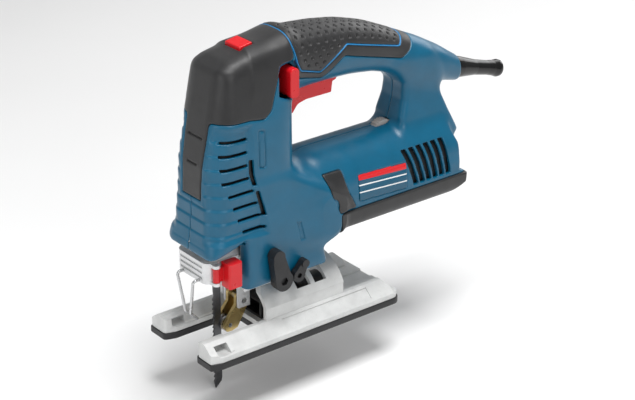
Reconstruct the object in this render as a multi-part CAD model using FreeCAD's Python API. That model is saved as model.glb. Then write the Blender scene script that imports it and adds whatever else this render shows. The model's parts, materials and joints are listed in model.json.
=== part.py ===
import FreeCAD, Part
import math
import os

# Barrel-type jigsaw with a closed D-handle.  Millimetres.
# Origin: on the sole plane, at the blade.  -X is the cutting front, +X the cord end,
# -Y the tool's left side and +Z up.

# ---- Driving dimensions ------------------------------------------------------
# foot
foot_length = 158.5
foot_width = 74.2
foot_front = 28.2           # from the blade to the foot's front edge
foot_slot_width = 31.4      # open slot between the two prongs
shoe_thick = 4.8
plate_thick = 3.4
crest_height = 16.5         # top edge of the sloping wings
crest_width = 52.6
guide_slot_length = 10.0    # windows for a parallel guide bar
guide_slot_height = 5.4
arch_radius = 29.5          # cylinder that the housing tilts on
arch_thick = 3.0
arch_front = 23.0
arch_rear = 88.0
pivot_height = 11.5         # bevel axis above the sole
bevel_limit = 45.0

# housing
housing_width = 56.0
wall = 2.6
skin = 2.2                  # soft overmould on the hood and the handle
total_height = 206.3
motor_axis = 91.0
motor_rear = 196.0
lip_height = 70.7           # lower edge of the flared front
leg_front = 8.2             # front edge of the lower housing
leg_rear = 76.5
front_overhang = 20.0       # flared front ahead of the blade
grip_width = 38.0           # handle width at the middle of the grip
grip_height = 38.6
hand_gap_front = 54.0
column_rounding = 22.0      # rear corners of the head beside the hand gap
hand_gap_rear = 148.0
hand_gap_top = 164.0

# drive
stroke = 26.0
gear_module = 0.85
gear_teeth = 44
pinion_teeth = 10
gear_thick = 8.0
plunger_radius = 4.5
blade_thick = 1.25
blade_width = 6.4
blade_back = 4.6
blade_reach = 37.5          # blade tip below the sole
clamp_radius = 6.4
clamp_height = 14.0
clamp_floor = 44.0
block_height = 12.0         # each of the two guide blocks round the plunger
guide_half = 10.0
trunnion_radius = 2.0
bush_radius = 5.6
yoke_half = 6.0
yoke_back = 10.8
collar_radius = 5.9
crank_pin_radius = 3.0
pin_gap = 0.5               # the crank pin stops this far short of the yoke
armature_radius = 17.5
armature_length = 50.0
air_gap = 0.5
shaft_radius = 4.0
fan_radius = 21.0
commutator_radius = 11.0
commutator_length = 18.0
bearing_outer = 11.0
bearing_width = 7.0

# gear case and nose
nose_half = 17.4
nose_bottom = 51.6
case_half = 23.0
case_front = -10.4
case_rear = 28.0
case_floor = 76.0
case_wall = 2.4
cover_thick = 8.0
step_height = 131.0         # the case steps back here, behind the leaning front
upper_front = -7.8
release_pin_radius = 1.2
lug_height = 2.2
wire_radius = 1.0

# blade guide and bevel clamp
roller_radius = 5.4
roller_pin_radius = 1.5
bracket_pin_radius = 1.95
arm_inner = 3.2
arm_outer = 5.6
ear_inner = 6.3
ear_outer = 8.4
bolt_radius = 2.9
duct_half_width = 9.5
duct_height = 13.3
port_bore = 6.2
port_outer = 7.8
port_length = 20.0

# controls and cord sleeve
trigger_half = 8.0
trigger_front = 56.4
trigger_depth = 8.4         # below the top of the hand gap
trigger_hook = 15.4         # its front tip, below the top of the hand gap
trigger_pin_radius = 1.5
trigger_pin_half = 10.3
lock_height = 20.0
lock_width = 7.0
lock_travel = 3.0
top_button = (18.0, 28.0, 8.0)
orbit_hub = 7.0
blower_hub = 4.6
lever_shaft = 2.6
wheel_radius = 9.0
wheel_thick = 6.0
sleeve_fit = 6.2
cord_bore = 3.6
cord_fall = 14.5            # downward slope of the cord sleeve, degrees

# vents, inlays and screws
vent_pitch = 7.8
vent_first = 84.5
vent_count = 8
accent_width = 1.1
inlay_depth = 0.8
screw_radius = 2.0
screw_head = 3.6

# clearances
running = 0.05
slide_gap = 0.3
seat_gap = 0.3

# ---- Derived dimensions ------------------------------------------------------
foot_back = foot_length - foot_front
half_foot = foot_width / 2
half_slot = foot_slot_width / 2
plate_top = shoe_thick + plate_thick
half_crest = crest_width / 2
half_body = housing_width / 2
arch_top = pivot_height + arch_radius
housing_bottom = arch_top + 0.5
half_grip_w = grip_width / 2
half_grip_h = grip_height / 2
motor_top = motor_axis + half_body
gear_offset = gear_module * (gear_teeth + pinion_teeth) / 2
gear_axis = motor_axis + gear_offset
crank_radius = stroke / 2
gear_radius = gear_module * gear_teeth / 2 + 0.6 * gear_module

guide_front = 6.0 - foot_front
guide_floor = plate_top + 0.7
window_angle = bevel_limit + 6.2
window_places = [(arch_front + 28.0, 11.5), (arch_front + 43.0, 9.5)]
bolt_place = window_places[0][0] + window_places[0][1] / 2
duct_top = plate_top + duct_height
port_start = arch_rear - 22.0
port_centre = plate_top + port_outer + 0.1
barrel_floor = motor_axis - half_body + 0.5
nose_front = 2.4 - front_overhang
nose_top = lip_height - 4.3
case_top = gear_axis + gear_radius + 3.0
guide_pivot = gear_axis + crank_radius + yoke_half + 1.0 + block_height / 2
guide_top = guide_pivot + block_height / 2 + 1.2
guide_wall = guide_half + 3.4
guide_low = case_floor + 4.5
plunger_foot = clamp_floor + 6.0
plunger_top = guide_pivot + block_height / 2 + crank_radius - 2.0

X_AXIS = FreeCAD.Vector(1, 0, 0)
Y_AXIS = FreeCAD.Vector(0, 1, 0)
Z_AXIS = FreeCAD.Vector(0, 0, 1)
nodes = {}


# ---- Drawing helpers ---------------------------------------------------------
def vec(x, y, z):
    return FreeCAD.Vector(x, y, z)


def box(x0, x1, y0, y1, z0, z1):
    return Part.makeBox(x1 - x0, y1 - y0, z1 - z0, vec(x0, y0, z0))


def rod(start, axis, radius, length):
    return Part.makeCylinder(radius, length, start, axis)


def tube(start, axis, outer, inner, length):
    return rod(start, axis, outer, length).cut(rod(start, axis, inner, length))


def joined(shapes):
    whole = shapes[0]
    for shape in shapes[1:]:
        whole = whole.fuse(shape)
    return whole.removeSplitter()


def mirrored(shape):
    """The same shape on the other side of the mid-plane y = 0."""
    return shape.mirror(vec(0, 0, 0), Y_AXIS)


def both_sides(shape):
    return [shape, mirrored(shape)]


def turned(shape, centre, axis, degrees):
    copy = shape.copy()
    copy.rotate(centre, axis, degrees)
    return copy


def inset(points, distance):
    """Move every side of a polygon inwards; a corner keeps its own rounding radius."""
    count = len(points)
    area = sum(points[i][0] * points[(i + 1) % count][1] - points[(i + 1) % count][0] * points[i][1]
               for i in range(count))
    side = 1 if area > 0 else -1
    moved = []
    for i in range(count):
        before, here, after = points[i - 1], points[i], points[(i + 1) % count]
        d1 = unit(here[0] - before[0], here[1] - before[1])
        d2 = unit(after[0] - here[0], after[1] - here[1])
        n1 = (-side * d1[1], side * d1[0])
        n2 = (-side * d2[1], side * d2[0])
        scale = distance / (1 + n1[0] * n2[0] + n1[1] * n2[1])
        radius = here[2] if len(here) > 2 else 0
        if radius:
            turn = side * (d1[0] * d2[1] - d1[1] * d2[0])
            radius = max(radius - distance, 0.4) if turn > 0 else radius + distance
        moved.append((here[0] + (n1[0] + n2[0]) * scale, here[1] + (n1[1] + n2[1]) * scale, radius))
    return moved


def unit(u, v):
    size = math.hypot(u, v)
    return u / size, v / size


def outline(points, place):
    """Closed wire through (u, v, radius) corners; place puts (u, v) into space."""
    count = len(points)
    corners = []
    for i in range(count):
        before, here, after = points[i - 1], points[i], points[(i + 1) % count]
        radius = here[2] if len(here) > 2 else 0
        back = unit(before[0] - here[0], before[1] - here[1])
        ahead = unit(after[0] - here[0], after[1] - here[1])
        cosine = max(-1.0, min(1.0, back[0] * ahead[0] + back[1] * ahead[1]))
        half = math.acos(cosine) / 2
        if radius < 0.01 or half > math.pi / 2 - 0.01:
            corners.append((here[:2], None, here[:2]))
            continue
        room = 0.48 * min(math.dist(before[:2], here[:2]), math.dist(after[:2], here[:2]))
        reach = min(radius / math.tan(half), room)
        radius = reach * math.tan(half)
        middle = unit(back[0] + ahead[0], back[1] + ahead[1])
        inner = radius / math.sin(half) - radius
        start = (here[0] + back[0] * reach, here[1] + back[1] * reach)
        mid = (here[0] + middle[0] * inner, here[1] + middle[1] * inner)
        end = (here[0] + ahead[0] * reach, here[1] + ahead[1] * reach)
        corners.append((start, mid, end))
    edges = []
    for i in range(count):
        start, mid, end = corners[i]
        if mid:
            edges.append(Part.Arc(place(*start), place(*mid), place(*end)).toShape())
        following = corners[(i + 1) % count][0]
        if math.dist(end, following) > 1e-6:
            edges.append(Part.LineSegment(place(*end), place(*following)).toShape())
    return Part.Wire(edges)


def side_prism(points, y0, y1):
    """Outline in X and Z, extruded along Y."""
    face = Part.Face(outline(points, lambda u, v: vec(u, y0, v)))
    return face.extrude(vec(0, y1 - y0, 0))


def front_prism(points, x0, x1):
    """Outline in Y and Z, extruded along X."""
    face = Part.Face(outline(points, lambda u, v: vec(x0, u, v)))
    return face.extrude(vec(x1 - x0, 0, 0))


def plan_prism(points, z0, z1):
    """Outline in X and Y, extruded along Z."""
    face = Part.Face(outline(points, lambda u, v: vec(u, v, z0)))
    return face.extrude(vec(0, 0, z1 - z0))


def bent_wire(points, radius, bend):
    """Round wire along straight runs joined by arcs."""
    edges = []
    last = points[0]
    for i in range(1, len(points) - 1):
        back = (points[i - 1] - points[i]).normalize()
        ahead = (points[i + 1] - points[i]).normalize()
        half = back.getAngle(ahead) / 2
        room = 0.48 * min(points[i].distanceToPoint(points[i - 1]), points[i].distanceToPoint(points[i + 1]))
        reach = min(bend / math.tan(half), room)
        start = points[i] + back * reach
        end = points[i] + ahead * reach
        middle = (back + ahead).normalize()
        size = reach * math.tan(half)
        mid = points[i] + middle * (size / math.sin(half) - size)
        edges.append(Part.LineSegment(last, start).toShape())
        edges.append(Part.Arc(start, mid, end).toShape())
        last = end
    edges.append(Part.LineSegment(last, points[-1]).toShape())
    path = Part.Wire(edges)
    direction = points[1] - points[0]
    section = Part.Wire(Part.makeCircle(radius, points[0], direction))
    return path.makePipeShell([section], True, False)


def add(name, shape):
    nodes[name] = shape


# ---- Foot --------------------------------------------------------------------
def foot_outline(edge):
    """Plan of the foot, moved in by edge, with the blade slot open to the front."""
    front = -foot_front + edge
    back = foot_back - edge
    side = half_foot - edge
    slot = half_slot + edge
    slot_end = arch_front + 4.0
    return [(front, -side + 2.6, 1), (front + 8, -side, 4), (back, -side, 6), (back, side, 6),
            (front + 8, side, 4), (front, side - 2.6, 1), (front, slot + 2.5, 3), (front + 8, slot, 3),
            (slot_end, slot, 4), (slot_end, -slot, 4), (front + 8, -slot, 3), (front, -slot - 2.5, 3)]


def make_shoe():
    return plan_prism(foot_outline(0), 0, shoe_thick)


def make_base_plate():
    edge = 0.7
    side = half_foot - edge
    floor = plan_prism(foot_outline(edge), shoe_thick, plate_top)
    # sloping wing: outer side face, slope to the crest, inner slope towards the slot
    wing_section = [(-side, shoe_thick), (-side, plate_top), (-half_crest, crest_height, 1),
                    (-half_crest + 3.2, crest_height, 1), (-half_slot - edge - 0.6, plate_top + 1.5, 1),
                    (-half_slot - edge, shoe_thick)]
    wing = front_prism(wing_section, -foot_front + edge, foot_back - 6)
    plan = plan_prism(foot_outline(edge), shoe_thick, crest_height + 1)
    wing = wing.common(plan)
    # raised pad at the tip of each prong
    pad_section = [(-side, shoe_thick), (-side + 1.5, plate_top + 2, 1), (-half_crest, crest_height, 1),
                   (-half_slot - edge - 2.0, crest_height - 1.5, 2), (-half_slot - edge, shoe_thick)]
    pad = front_prism(pad_section, -foot_front + edge, -foot_front + 19).common(plan)
    # long sides below the tilting arch
    wall_height = pivot_height + math.sqrt(arch_radius ** 2 - (half_crest - 0.4) ** 2)
    cheek = box(arch_front, arch_rear, -half_crest + 0.4, -half_crest + 3.4, plate_top - 1, wall_height)
    solids = [floor]
    for part in (wing, pad, cheek):
        solids += both_sides(part)
    arch = tube(vec(arch_front, 0, pivot_height), X_AXIS, arch_radius, arch_radius - arch_thick,
                arch_rear - arch_front)
    upper = box(arch_front - 1, arch_rear + 1, -half_foot, half_foot, wall_height - 0.8, arch_top + 1)
    solids.append(arch.common(upper))
    plate = joined(solids)
    # slanted front edge of the arch
    slant = side_prism([(arch_front - 8, wall_height - 1), (arch_front + 9, arch_top + 2),
                        (arch_front - 8, arch_top + 2)], -half_foot, half_foot)
    plate = plate.cut(slant)
    # parallel guide windows in both prongs
    guide = box(guide_front, guide_front + guide_slot_length, -half_foot - 1, half_foot + 1,
                guide_floor, guide_floor + guide_slot_height)
    plate = plate.cut(guide)
    # two windows in the arch: the clamp bolt runs in the first one
    for start, width in window_places:
        plate = plate.cut(arch_window(start, width, window_angle))
    # recessed panels on the outer slopes
    for sign in (-1, 1):
        plate = plate.cut(slope_panel(sign))
    # groove at the rear and bevelled rear ends of the wings
    plate = plate.cut(box(foot_back - 34, foot_back, -6, 6, plate_top - 1.2, plate_top + 1))
    bevel = side_prism([(foot_back - 12, crest_height + 2), (foot_back + 2, crest_height + 2),
                        (foot_back + 2, plate_top), (foot_back - 4, plate_top + 2)], -half_foot, half_foot)
    return plate.cut(bevel)


def slope_panel(sign):
    """Shallow tray sunk into the outer slope of a wing."""
    rise = crest_height - plate_top
    run = half_foot - 0.7 - half_crest
    angle = math.degrees(math.atan2(rise, run))
    length = math.hypot(rise, run)
    tray = box(34, 106, -length + 2.4, -2.2, -0.7, 3)
    tray.rotate(vec(0, 0, 0), X_AXIS, angle)
    tray.translate(vec(0, -half_crest, crest_height))
    return tray if sign < 0 else mirrored(tray)


def arch_window(start, width, degrees):
    """Slot round the arch, from -degrees to +degrees about the bevel axis."""
    reach = arch_radius + 3
    sector = [(0, pivot_height)]
    for step in range(9):
        angle = math.radians(-degrees + step * degrees / 4)
        sector.append((reach * math.sin(angle) * 1.1, pivot_height + reach * math.cos(angle) * 1.1))
    wedge = front_prism(sector, start, start + width)
    return wedge.common(tube(vec(start, 0, pivot_height), X_AXIS, reach, arch_radius - arch_thick - 2, width))


def make_dust_duct():
    """Suction duct under the arch: open mouth behind the blade, round port at the rear."""
    half = duct_half_width
    start = arch_front + 8
    end = port_start
    outer = box(start, end, -half, half, plate_top, duct_top)
    inner = box(start - 1, end - 3, -half + 2, half - 2, plate_top + 2, duct_top - 2)
    collar = box(end - 3, end, -half, half, plate_top, port_centre + port_outer)
    port = rod(vec(end, 0, port_centre), X_AXIS, port_outer, port_length)
    bore = rod(vec(end - 4, 0, port_centre), X_AXIS, port_bore, port_length + 8)
    return joined([outer, collar, port]).cut(inner).cut(bore)


add("slide_shoe", make_shoe())
add("base_plate", make_base_plate())
add("dust_duct", make_dust_duct())

# ---- Housing shells ------------------------------------------------------------
top_front = total_height - 3
head_side = [(-front_overhang, lip_height, 2), (leg_front, lip_height + 6.8, 5), (leg_front, housing_bottom, 3),
             (leg_rear, housing_bottom, 6), (leg_rear - 2, housing_bottom + 14, 18),
             (leg_rear + 3.5, motor_axis - half_body, 4), (leg_rear + 3.5, motor_top),
             (hand_gap_front, motor_top + 2, 6), (hand_gap_front, total_height - 0.3),
             (48, total_height, 30), (24, top_front, 60), (5, top_front - 4.5, 20), (-5, top_front - 11, 8),
             (-12.5, 149, 60), (-15.4, 131, 60), (-16.3, 109, 60)]
head_front = [(-half_body, housing_bottom, 4), (half_body, housing_bottom, 4), (half_body, 148, 30),
              (half_body - 5.5, 172, 30), (half_body - 5.5, total_height, 17),
              (5.5 - half_body, total_height, 17), (5.5 - half_body, 172, 30), (-half_body, 148, 30)]
head_plan = [(-front_overhang - 1, -half_body, 12), (leg_rear + 4, -half_body), (leg_rear + 4, half_body),
             (-front_overhang - 1, half_body, 12)]
column_plan = [(-front_overhang - 1, -half_body, 12), (hand_gap_front + 0.5, -half_body, column_rounding),
               (hand_gap_front + 0.5, half_body, column_rounding), (-front_overhang - 1, half_body, 12)]
column_floor = motor_axis + 12.0
barrel_side = [(30, barrel_floor), (motor_rear - 12.5, barrel_floor, 4), (motor_rear, 79.6, 3),
               (motor_rear - 5.5, 110, 8), (motor_rear - 16, motor_top, 6), (30, motor_top)]
barrel_front = [(-half_body, barrel_floor, 12), (half_body, barrel_floor, 12), (half_body, motor_top, half_body),
                (-half_body, motor_top, half_body)]
strut_side = [(hand_gap_rear, 108), (hand_gap_rear - 2, 132, 10), (hand_gap_rear + 3, 150, 6),
              (hand_gap_rear - 4, 162, 2), (184, 158), (186, 140, 12), (194, 119, 12), (motor_rear, 106, 2),
              (motor_rear - 4, 95)]
strut_half = 14.0
# centre height, half height and half width of the handle at stations along X
handle_stations = [(44, 184.0, 22.0, 22.0), (66, 184.6, 21.0, 20.4),
                   (100, hand_gap_top + half_grip_h, half_grip_h, half_grip_w),
                   (125, 178.4, 16.8, 17.6), (148, 169.8, 15.2, 16.6), (178, 156.0, 14.6, 15.0),
                   (206, 143.8, 9.6, 10.2)]


def oval(x, centre, tall, wide):
    """Rounded, slightly squared closed section across the handle."""
    points = []
    for step in range(20):
        angle = 2 * math.pi * step / 20
        across, up = math.cos(angle), math.sin(angle)
        size = (abs(across) ** 2.3 + abs(up) ** 2.3) ** (-1 / 2.3)
        points.append(vec(x, wide * size * across, centre + tall * size * up))
    curve = Part.BSplineCurve()
    curve.interpolate(Points=points, PeriodicFlag=True)
    return Part.Wire(curve.toShape())


def handle_loft(distance):
    last = len(handle_stations) - 1
    sections = []
    for index, (x, centre, tall, wide) in enumerate(handle_stations):
        end = x - distance if index == last else x
        sections.append(oval(end, centre, tall - distance, wide - distance))
    return Part.makeLoft(sections, True, True)


def housing_form(distance):
    """The whole housing as one solid, with every surface moved inwards."""
    reach = half_body + 5
    head = side_prism(inset(head_side, distance), -reach, reach)
    head = head.common(front_prism(inset(head_front, distance), -60, 120))
    lower = plan_prism(inset(head_plan, distance), 0, column_floor - distance)
    upper = plan_prism(inset(column_plan, distance), column_floor - distance, total_height + 5)
    head = head.common(lower.fuse(upper))
    barrel = side_prism(inset(barrel_side, distance), -reach, reach)
    barrel = barrel.common(front_prism(inset(barrel_front, distance), 0, motor_rear + 10))
    strut = side_prism(inset(strut_side, distance), -strut_half + distance, strut_half - distance)
    return head.fuse(barrel).fuse(strut).fuse(handle_loft(distance))


def hood_region():
    """Space of the soft hood: the upper front, and a tongue down the middle of the front."""
    upper = side_prism([(-40, 158), (16, 160, 4), (29, 166, 4), (38, 184), (45, total_height + 9),
                        (-40, total_height + 9)], -half_body - 5, half_body + 5)
    tongue = front_prism([(-10, 109, 2), (10, 109, 2), (11.5, 160), (-11.5, 160)], -40, -5)
    return upper.fuse(tongue)


def grip_region():
    """Space of the dark band round the top of the handle."""
    band = [(45.5, total_height + 9), (47, 200), (53, 178, 2), (77, 171, 3), (93, 183, 3), (146, 169, 4),
            (156, 176, 6), (161, 190), (161, total_height + 9)]
    return side_prism(band, -half_body, half_body)


def pad_region(distance):
    """Space of the dimpled pad inside the band; distance grows the region."""
    pad = [(50.5, total_height + 9), (52, 198), (56, 183.5, 2), (73, 178, 3), (95, 191.5, 3),
           (142, 178, 3), (149, 184, 6), (150, total_height + 9)]
    return side_prism(inset(pad, -distance), -half_body, half_body)


form = housing_form(0)
under_skin = housing_form(skin)
hood_space = hood_region()
grip_space = grip_region()
soft_space = hood_space.fuse(grip_space)
cavity = housing_form(wall).cut(soft_space).fuse(housing_form(skin + wall))
soft_layer = form.cut(under_skin)
hood = soft_layer.common(hood_space)
band_layer = soft_layer.common(grip_space)
grip_pad = band_layer.common(pad_region(0))
accent = band_layer.common(pad_region(accent_width)).cut(pad_region(0))
band = band_layer.cut(pad_region(accent_width))
shell = form.cut(soft_layer.common(soft_space)).cut(cavity)

# ---- Openings in the shells -----------------------------------------------------
wheel_centre = vec(141, 0, motor_top - 6.4)
trigger_pivot = vec(93.0, 0, hand_gap_top + 4.5)
lock_centre = vec(48, 0, 177)
orbit_pivot = vec(32, 0, housing_bottom + 4.5)
blower_pivot = vec(45.8, 0, housing_bottom + 3.8)
cord_exit = vec(206, 0, 143.8)


def head_vents():
    """Horizontal slots on both flanks of the head."""
    slots = []
    for row in range(vent_count):
        floor = vent_first + row * vent_pitch
        slots += both_sides(box(-7, 15 + 0.9 * (vent_count - row), -half_body - 1, -half_body + wall + 1,
                                floor, floor + 2.3))
    return slots


def motor_vents():
    """Six leaning slots on both flanks at the rear of the motor."""
    slots = []
    for column in range(6):
        foot = 147.6 + column * 5.85
        top = 139.0 + column * 6.6
        slot = side_prism([(foot, 80.3), (foot + 4.2, 80.3), (top + 4.2, 106), (top, 106)], -half_body - 1, -14)
        slots += both_sides(slot)
    return slots


def shell_openings():
    cuts = head_vents() + motor_vents()
    # open underside of the flared front, for the nose, the clamp and the plunger
    cuts.append(box(nose_front - 1, leg_front + 1, -nose_half - 1.5, nose_half + 1.5, lip_height - 4,
                    lip_height + wall + 6))
    cuts.append(box(leg_front - 1, leg_rear - 8, -17, 17, housing_bottom - 1, housing_bottom + wall + 1))
    cuts.append(box(leg_front - 1, leg_front + wall + 1, -17, 17, housing_bottom - 1, lip_height + 8))
    # room for the gear case where the underside of the head rises
    cuts.append(box(case_front - 0.2, leg_front + wall + 1, -case_half - slide_gap, case_half + slide_gap,
                    case_floor - slide_gap, case_floor + 8))
    # relief inside the leaning front for the top of the plunger's stroke
    cuts.append(rod(vec(0, 0, guide_top), Z_AXIS, plunger_radius + 0.7,
                    plunger_top + crank_radius + 1.5 - guide_top))
    # trigger and its pin, lock button, top button, thumbwheel, levers and cord
    cuts.append(rod(trigger_pivot - vec(0, trigger_pin_half, 0), Y_AXIS, trigger_pin_radius,
                    2 * trigger_pin_half))
    cuts.append(box(trigger_front - 2.6, trigger_pivot.x + 3.5, -trigger_half - slide_gap,
                    trigger_half + slide_gap, hand_gap_top - 16, hand_gap_top + 4))
    cuts.append(box(lock_centre.x - lock_width / 2 - slide_gap, lock_centre.x + lock_width / 2 + slide_gap,
                    -half_body - 2, -10, lock_centre.z - lock_height / 2 - slide_gap,
                    lock_centre.z + lock_height / 2 + slide_gap))
    cuts.append(box(top_button[0] - slide_gap, top_button[1] + slide_gap, -top_button[2] - slide_gap,
                    top_button[2] + slide_gap, total_height - 12, total_height + 5))
    cuts.append(rod(wheel_centre - vec(0, wheel_thick / 2 + 0.8, 0), Y_AXIS, wheel_radius + 0.9,
                    wheel_thick + 1.6))
    for pivot in (orbit_pivot, blower_pivot):
        cuts.append(rod(pivot - vec(0, half_body + 1, 0), Y_AXIS, lever_shaft + running, wall + 7))
    cuts.append(turned(rod(cord_exit - vec(30, 0, 0), X_AXIS, sleeve_fit, 40), cord_exit, Y_AXIS, cord_fall))
    return cuts


for opening in shell_openings():
    shell = shell.cut(opening)
    hood = hood.cut(opening)
    band = band.cut(opening)
    accent = accent.cut(opening)
left_side = box(-60, 300, -60, 0, -5, 260)
right_side = box(-60, 300, 0, 60, -5, 260)


def largest(shape):
    return max(shape.Solids, key=lambda solid: solid.Volume)


add("left_shell", largest(shell.common(left_side)))
add("right_shell", largest(shell.common(right_side)))
add("front_hood", largest(hood))
add("handle_band", band)
add("accent_trim", accent)
add("grip_pad", largest(grip_pad))

# ---- Gear case and nose ----------------------------------------------------------
release_axis = vec(-12.0, -nose_half - 2.7, 0)
wire_start = nose_bottom + 1.5


def guard_path():
    """Corner points of the bent contact guard, from its left end to its right end."""
    reach = nose_front - 5.0
    half = [vec(nose_front + 1.6, -8.9, wire_start), vec(reach, -8.9, wire_start),
            vec(reach + 1.6, -3, 27), vec(-15, -3, 20.6)]
    return half + [vec(point.x, -point.y, point.z) for point in reversed(half)]


def make_guard():
    return bent_wire(guard_path(), wire_radius, 2.4)


def make_gear_case():
    thin = case_wall
    outside = joined([
        box(case_front, case_rear, -case_half, case_half, case_floor, step_height),
        box(upper_front, case_rear, -case_half, case_half, step_height - 1, case_top),
        box(upper_front, 12, -guide_wall, guide_wall, step_height - 1, guide_top),
        box(case_front, 12, -15.5, 15.5, nose_top - 2, case_floor + 2),
        plan_prism([(nose_front, -nose_half, 6), (leg_front - 0.6, -nose_half), (leg_front - 0.6, nose_half),
                    (nose_front, nose_half, 6)], nose_bottom, nose_top)])
    hollow = [
        box(case_front + thin, case_rear + 1, thin - case_half, case_half - thin, case_floor + 3, step_height),
        box(upper_front + 1.3, case_rear + 1, thin - case_half, case_half - thin, case_floor + 3,
            case_top - thin),
        box(upper_front + 1.3, 10.5, -guide_half - 1.2, guide_half + 1.2, case_floor + 3, guide_top + 1),
        box(case_front + thin, 9.6, -13, 13, nose_bottom, case_floor + 4),
        box(nose_front + thin, leg_front - 3, thin - nose_half, nose_half - thin, nose_bottom - 1,
            nose_top - thin)]
    for row in range(3):
        floor = nose_bottom + 3.0 + row * 3.8
        hollow.append(box(nose_front - 1, nose_front + 1.1, -12, 12, floor, floor + 1.6))
    case = outside
    for space in hollow:
        case = case.cut(space)
    trunnions = rod(vec(0, -guide_wall - 1, guide_pivot), Y_AXIS, trunnion_radius + running,
                    2 * guide_wall + 2)
    case = case.cut(trunnions)
    lugs = []
    for floor in (nose_bottom, nose_top - lug_height):
        lugs.append(rod(vec(release_axis.x, release_axis.y, floor), Z_AXIS, 2.6, lug_height))
        lugs.append(box(release_axis.x - 2.4, release_axis.x + 2.4, release_axis.y, -nose_half + 1, floor,
                        floor + lug_height))
    case = joined([case] + lugs)
    case = case.cut(rod(vec(release_axis.x, release_axis.y, 0), Z_AXIS, release_pin_radius, 100))
    return case.cut(make_guard())


def make_release_lever():
    """Red lever hinged at the front of the nose's left flank, with a tall thumb block."""
    low = nose_bottom + lug_height + slide_gap
    high = nose_top - lug_height - slide_gap
    near = -nose_half - 0.8
    barrel = rod(vec(release_axis.x, release_axis.y, low), Z_AXIS, 2.4, high - low)
    bar = box(release_axis.x, -1, near - 3, near, low, high)
    block = plan_prism([(-7, near - 9.5, 1.5), (3.5, near - 9.5, 1.5), (3.5, near - 0.4, 1), (-7, near - 0.4)],
                       nose_bottom - 2.2, nose_top + 0.6)
    hole = rod(vec(release_axis.x, release_axis.y, 0), Z_AXIS, release_pin_radius + running, 100)
    return joined([barrel, bar, block]).cut(hole)


add("gear_case", make_gear_case())
add("contact_guard", make_guard())
add("release_lever", make_release_lever())
add("release_pin", rod(vec(release_axis.x, release_axis.y, nose_bottom), Z_AXIS, release_pin_radius,
                       nose_top - nose_bottom))

# ---- Crank drive -------------------------------------------------------------------
gear_back = case_rear - 4.0
gear_front = gear_back - gear_thick


def involute_gear(teeth, addendum, dedendum, x0, thick, centre, first_angle):
    """Spur gear about +X with involute flanks; first_angle points at a tooth, from +Y towards +Z."""
    pitch = gear_module * teeth / 2
    base = pitch * math.cos(math.radians(20))
    tip = pitch + addendum
    root = pitch - dedendum
    flank_start = max(base, root)

    def involute(radius):
        return math.sqrt(max((radius / base) ** 2 - 1, 0)) - math.acos(min(base / radius, 1))

    half_thick = math.pi / (2 * teeth) - 0.045 / pitch + involute(pitch)
    points = []
    for tooth in range(teeth):
        middle = math.radians(first_angle) + 2 * math.pi * tooth / teeth
        radii = [flank_start + (tip - flank_start) * step / 4 for step in range(5)]
        rise = [(radius, half_thick - involute(radius)) for radius in radii]
        profile = [(root, rise[0][1] + 0.01)] + rise
        for radius, angle in profile:
            points.append((radius * math.cos(middle - angle), radius * math.sin(middle - angle)))
        for radius, angle in reversed(profile):
            points.append((radius * math.cos(middle + angle), radius * math.sin(middle + angle)))
    wire = Part.makePolygon([vec(x0, y, centre + z) for y, z in points + points[:1]])
    return Part.Face(wire).extrude(vec(thick, 0, 0))


def make_crank_gear():
    wheel = involute_gear(gear_teeth, 0.6 * gear_module, 1.3 * gear_module, gear_front, gear_thick,
                          gear_axis, 270 + 180 / gear_teeth)
    stub = rod(vec(gear_back, 0, gear_axis), X_AXIS, shaft_radius, cover_thick + case_rear - gear_back)
    pin = rod(vec(yoke_back + pin_gap, crank_radius, gear_axis), X_AXIS, crank_pin_radius,
              gear_front - yoke_back - pin_gap)
    relief = tube(vec(gear_back - 2, 0, gear_axis), X_AXIS, gear_radius - 3.5, 8, 3)
    return joined([wheel, stub, pin]).cut(relief)


def make_yoke():
    """Cross-slotted yoke clamped round the plunger."""
    collar = rod(vec(0, 0, gear_axis - yoke_half), Z_AXIS, collar_radius, 2 * yoke_half)
    plate = box(5, yoke_back, -crank_radius - 5, crank_radius + 5, gear_axis - yoke_half,
                gear_axis + yoke_half)
    slot_half = crank_pin_radius + 0.15
    reach = crank_radius + crank_pin_radius + 0.4
    slot = box(collar_radius + 0.8, yoke_back + 1, -reach, reach, gear_axis - slot_half, gear_axis + slot_half)
    hole = rod(vec(0, 0, gear_axis - 20), Z_AXIS, plunger_radius, 40)
    return joined([collar, plate]).cut(hole).cut(slot)


def make_guide_frame():
    """Swinging frame that carries both plunger bushes."""
    low = guide_low
    blocks = [box(-6, 6, -guide_half, guide_half, guide_pivot - block_height / 2,
                  guide_pivot + block_height / 2),
              box(-6, 6, -guide_half, guide_half, low, low + block_height)]
    bars = both_sides(box(-3.5, 3.5, -guide_half, -8, low, guide_pivot))
    trunnions = both_sides(rod(vec(0, -guide_wall + 0.2, guide_pivot), Y_AXIS, trunnion_radius,
                               guide_wall - guide_half))
    frame = joined(blocks + bars + trunnions)
    return frame.cut(rod(vec(0, 0, low - 1), Z_AXIS, bush_radius, guide_pivot))


def make_bushes():
    low = guide_low
    rings = [tube(vec(0, 0, floor), Z_AXIS, bush_radius, plunger_radius + running, block_height)
             for floor in (low, guide_pivot - block_height / 2)]
    return Part.makeCompound(rings)


def make_blade():
    """Toothed blade with a plain shank held in the clamp."""
    back = blade_back
    front = blade_back - blade_width
    pitch = 3.4
    first = 32.0
    points = [(back, plunger_foot), (front + 0.8, plunger_foot), (front + 0.8, first + 3)]
    count = int((first + blade_reach - 4) / pitch)
    for tooth in range(count):
        height = first - tooth * pitch
        points.append((front + 1.3, height))
        points.append((front, height - pitch + 0.2))
    points += [(front + 1.2, -blade_reach), (back - 0.6, 4.2 - blade_reach), (back, 7 - blade_reach)]
    return side_prism(points, -blade_thick / 2, blade_thick / 2)


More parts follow.
